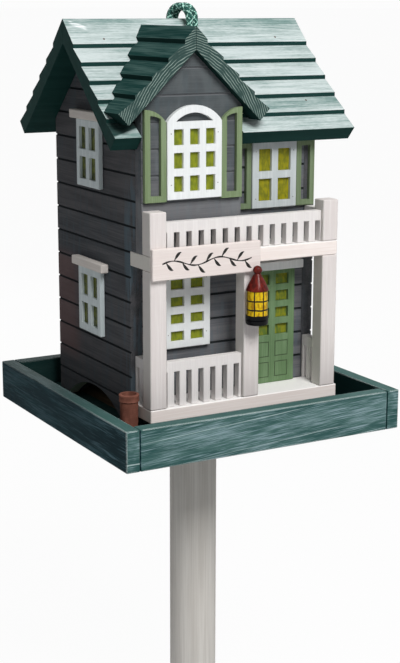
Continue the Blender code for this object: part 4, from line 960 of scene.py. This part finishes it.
body = lantern_coat.mix(gold, (0.012, 0.010, 0.009), bars)
body = lantern_coat.mix(body, red, lantern_coat.fade(up, 0.0338, 0.0344))
body = lantern_coat.mix(body, (0.003, 0.003, 0.004), lantern_coat.fade(up, 0.0102, 0.0096))
lantern_coat.give("Base Color", body)
relief(lantern_coat, blotch, 0.00015)

neck = math.acos(NECK_R / BALL_R)
ball_z = CONE_TOP + BALL_R * math.sin(neck)
sweep = [math.pi / 2 - (math.pi / 2 + neck) * i / 14 for i in range(15)]
profile = [(BALL_R * math.cos(a), ball_z + BALL_R * math.sin(a)) for a in sweep]
profile += [(NECK_R + (lantern_r - NECK_R) * t + 0.0006 * math.sin(math.pi * t),
             CONE_TOP - CONE_TALL * t) for t in (0.08, 0.2, 0.35, 0.5, 0.65, 0.8, 0.92, 0.98)]
profile += [(lantern_r - inset, height) for inset, height in (
    (0.0, 0.0350), (0.0, 0.0345), (0.0003, 0.0342), (0.0008, 0.0339), (0.0008, 0.0102),
    (0.0003, 0.0099), (0.0, 0.0095), (0.0, 0.0056), (0.0007, 0.0050), (0.0, 0.0044),
    (0.0, 0.0012), (0.0004, 0.0004), (0.0012, 0.0))]
profile += [(0.0, 0.0)]
profile = [(max(radius, 0.0), height + lantern_low[Z]) for radius, height in profile]
lantern = spun("lantern_turned", profile, 72, (lantern_x, lantern_y), lantern_coat)
shape = bmesh.new()
shape.from_mesh(lantern.data)
flat_back = bmesh.ops.bisect_plane(shape, geom=shape.verts[:] + shape.edges[:] + shape.faces[:],
                                   plane_co=(0.0, lantern_high[Y], 0.0),
                                   plane_no=(0.0, 1.0, 0.0), clear_outer=True)
cut_edges = [item for item in flat_back["geom_cut"] if isinstance(item, bmesh.types.BMEdge)]
bmesh.ops.holes_fill(shape, edges=cut_edges, sides=0)
bmesh.ops.recalc_face_normals(shape, faces=shape.faces)
shape.to_mesh(lantern.data)
shape.free()
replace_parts(lantern, "lantern")

# Flower pot: turned from wood and stained terracotta, with a rolled rim and a hollow inside.
# It is glued to the tray's floor beside the porch.

FOOT_R, SWELL, RIM_TALL, POT_WALL, POT_FLOOR = 0.0083, 0.0009, 0.0078, 0.0018, 0.0022
pot_low, pot_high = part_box("flower_pot")
pot_r = (pot_high[X] - pot_low[X]) / 2
pot_tall = pot_high[Z] - pot_low[Z]
clay = new_coat("terracotta_stain", 0.66)
clay_turn = grain(clay, Z, 0.0150, 0.0007)
clay_cloud = grain(clay, Z, 0.0080, 0.0120, 4.0)
clay_rub = edges(clay, 0.0006) * 0.35
clay_body = clay.mix((0.150, 0.058, 0.040), (0.255, 0.100, 0.070),
                     clay.fade(clay_cloud * 0.7 + clay_turn * 0.3, 0.36, 0.62))
clay.give("Base Color", clay.mix(clay_body, (0.360, 0.180, 0.130), clay_rub))
relief(clay, clay_turn * 0.5 + clay_cloud * 0.5, 0.00015)
rim_z = pot_tall - RIM_TALL
side_line = [(FOOT_R + SWELL * math.sin(i / 10 * math.pi / 2), rim_z * i / 10) for i in range(11)]
profile = [(0.0, POT_FLOOR)]
profile += [(radius - POT_WALL, POT_FLOOR + height * (pot_tall - POT_FLOOR) / rim_z)
            for radius, height in side_line]
profile += [(pot_r - inset, pot_tall - drop) for inset, drop in (
    (POT_WALL, 0.0), (0.0008, 0.0), (0.0002, 0.0005), (0.0, 0.0014), (0.0003, 0.0023))]
profile += [(pot_r - inset, rim_z + lift) for inset, lift in (
    (0.0003, 0.0014), (0.0001, 0.0008), (0.0004, 0.0002), (0.0010, 0.0))]
profile += side_line[::-1] + [(0.0, 0.0)]
profile = [(radius, height + pot_low[Z]) for radius, height in profile]
pot = spun("pot_turned", profile, 64, midpoint(pot_low, pot_high), clay)
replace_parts(pot, "flower_pot")
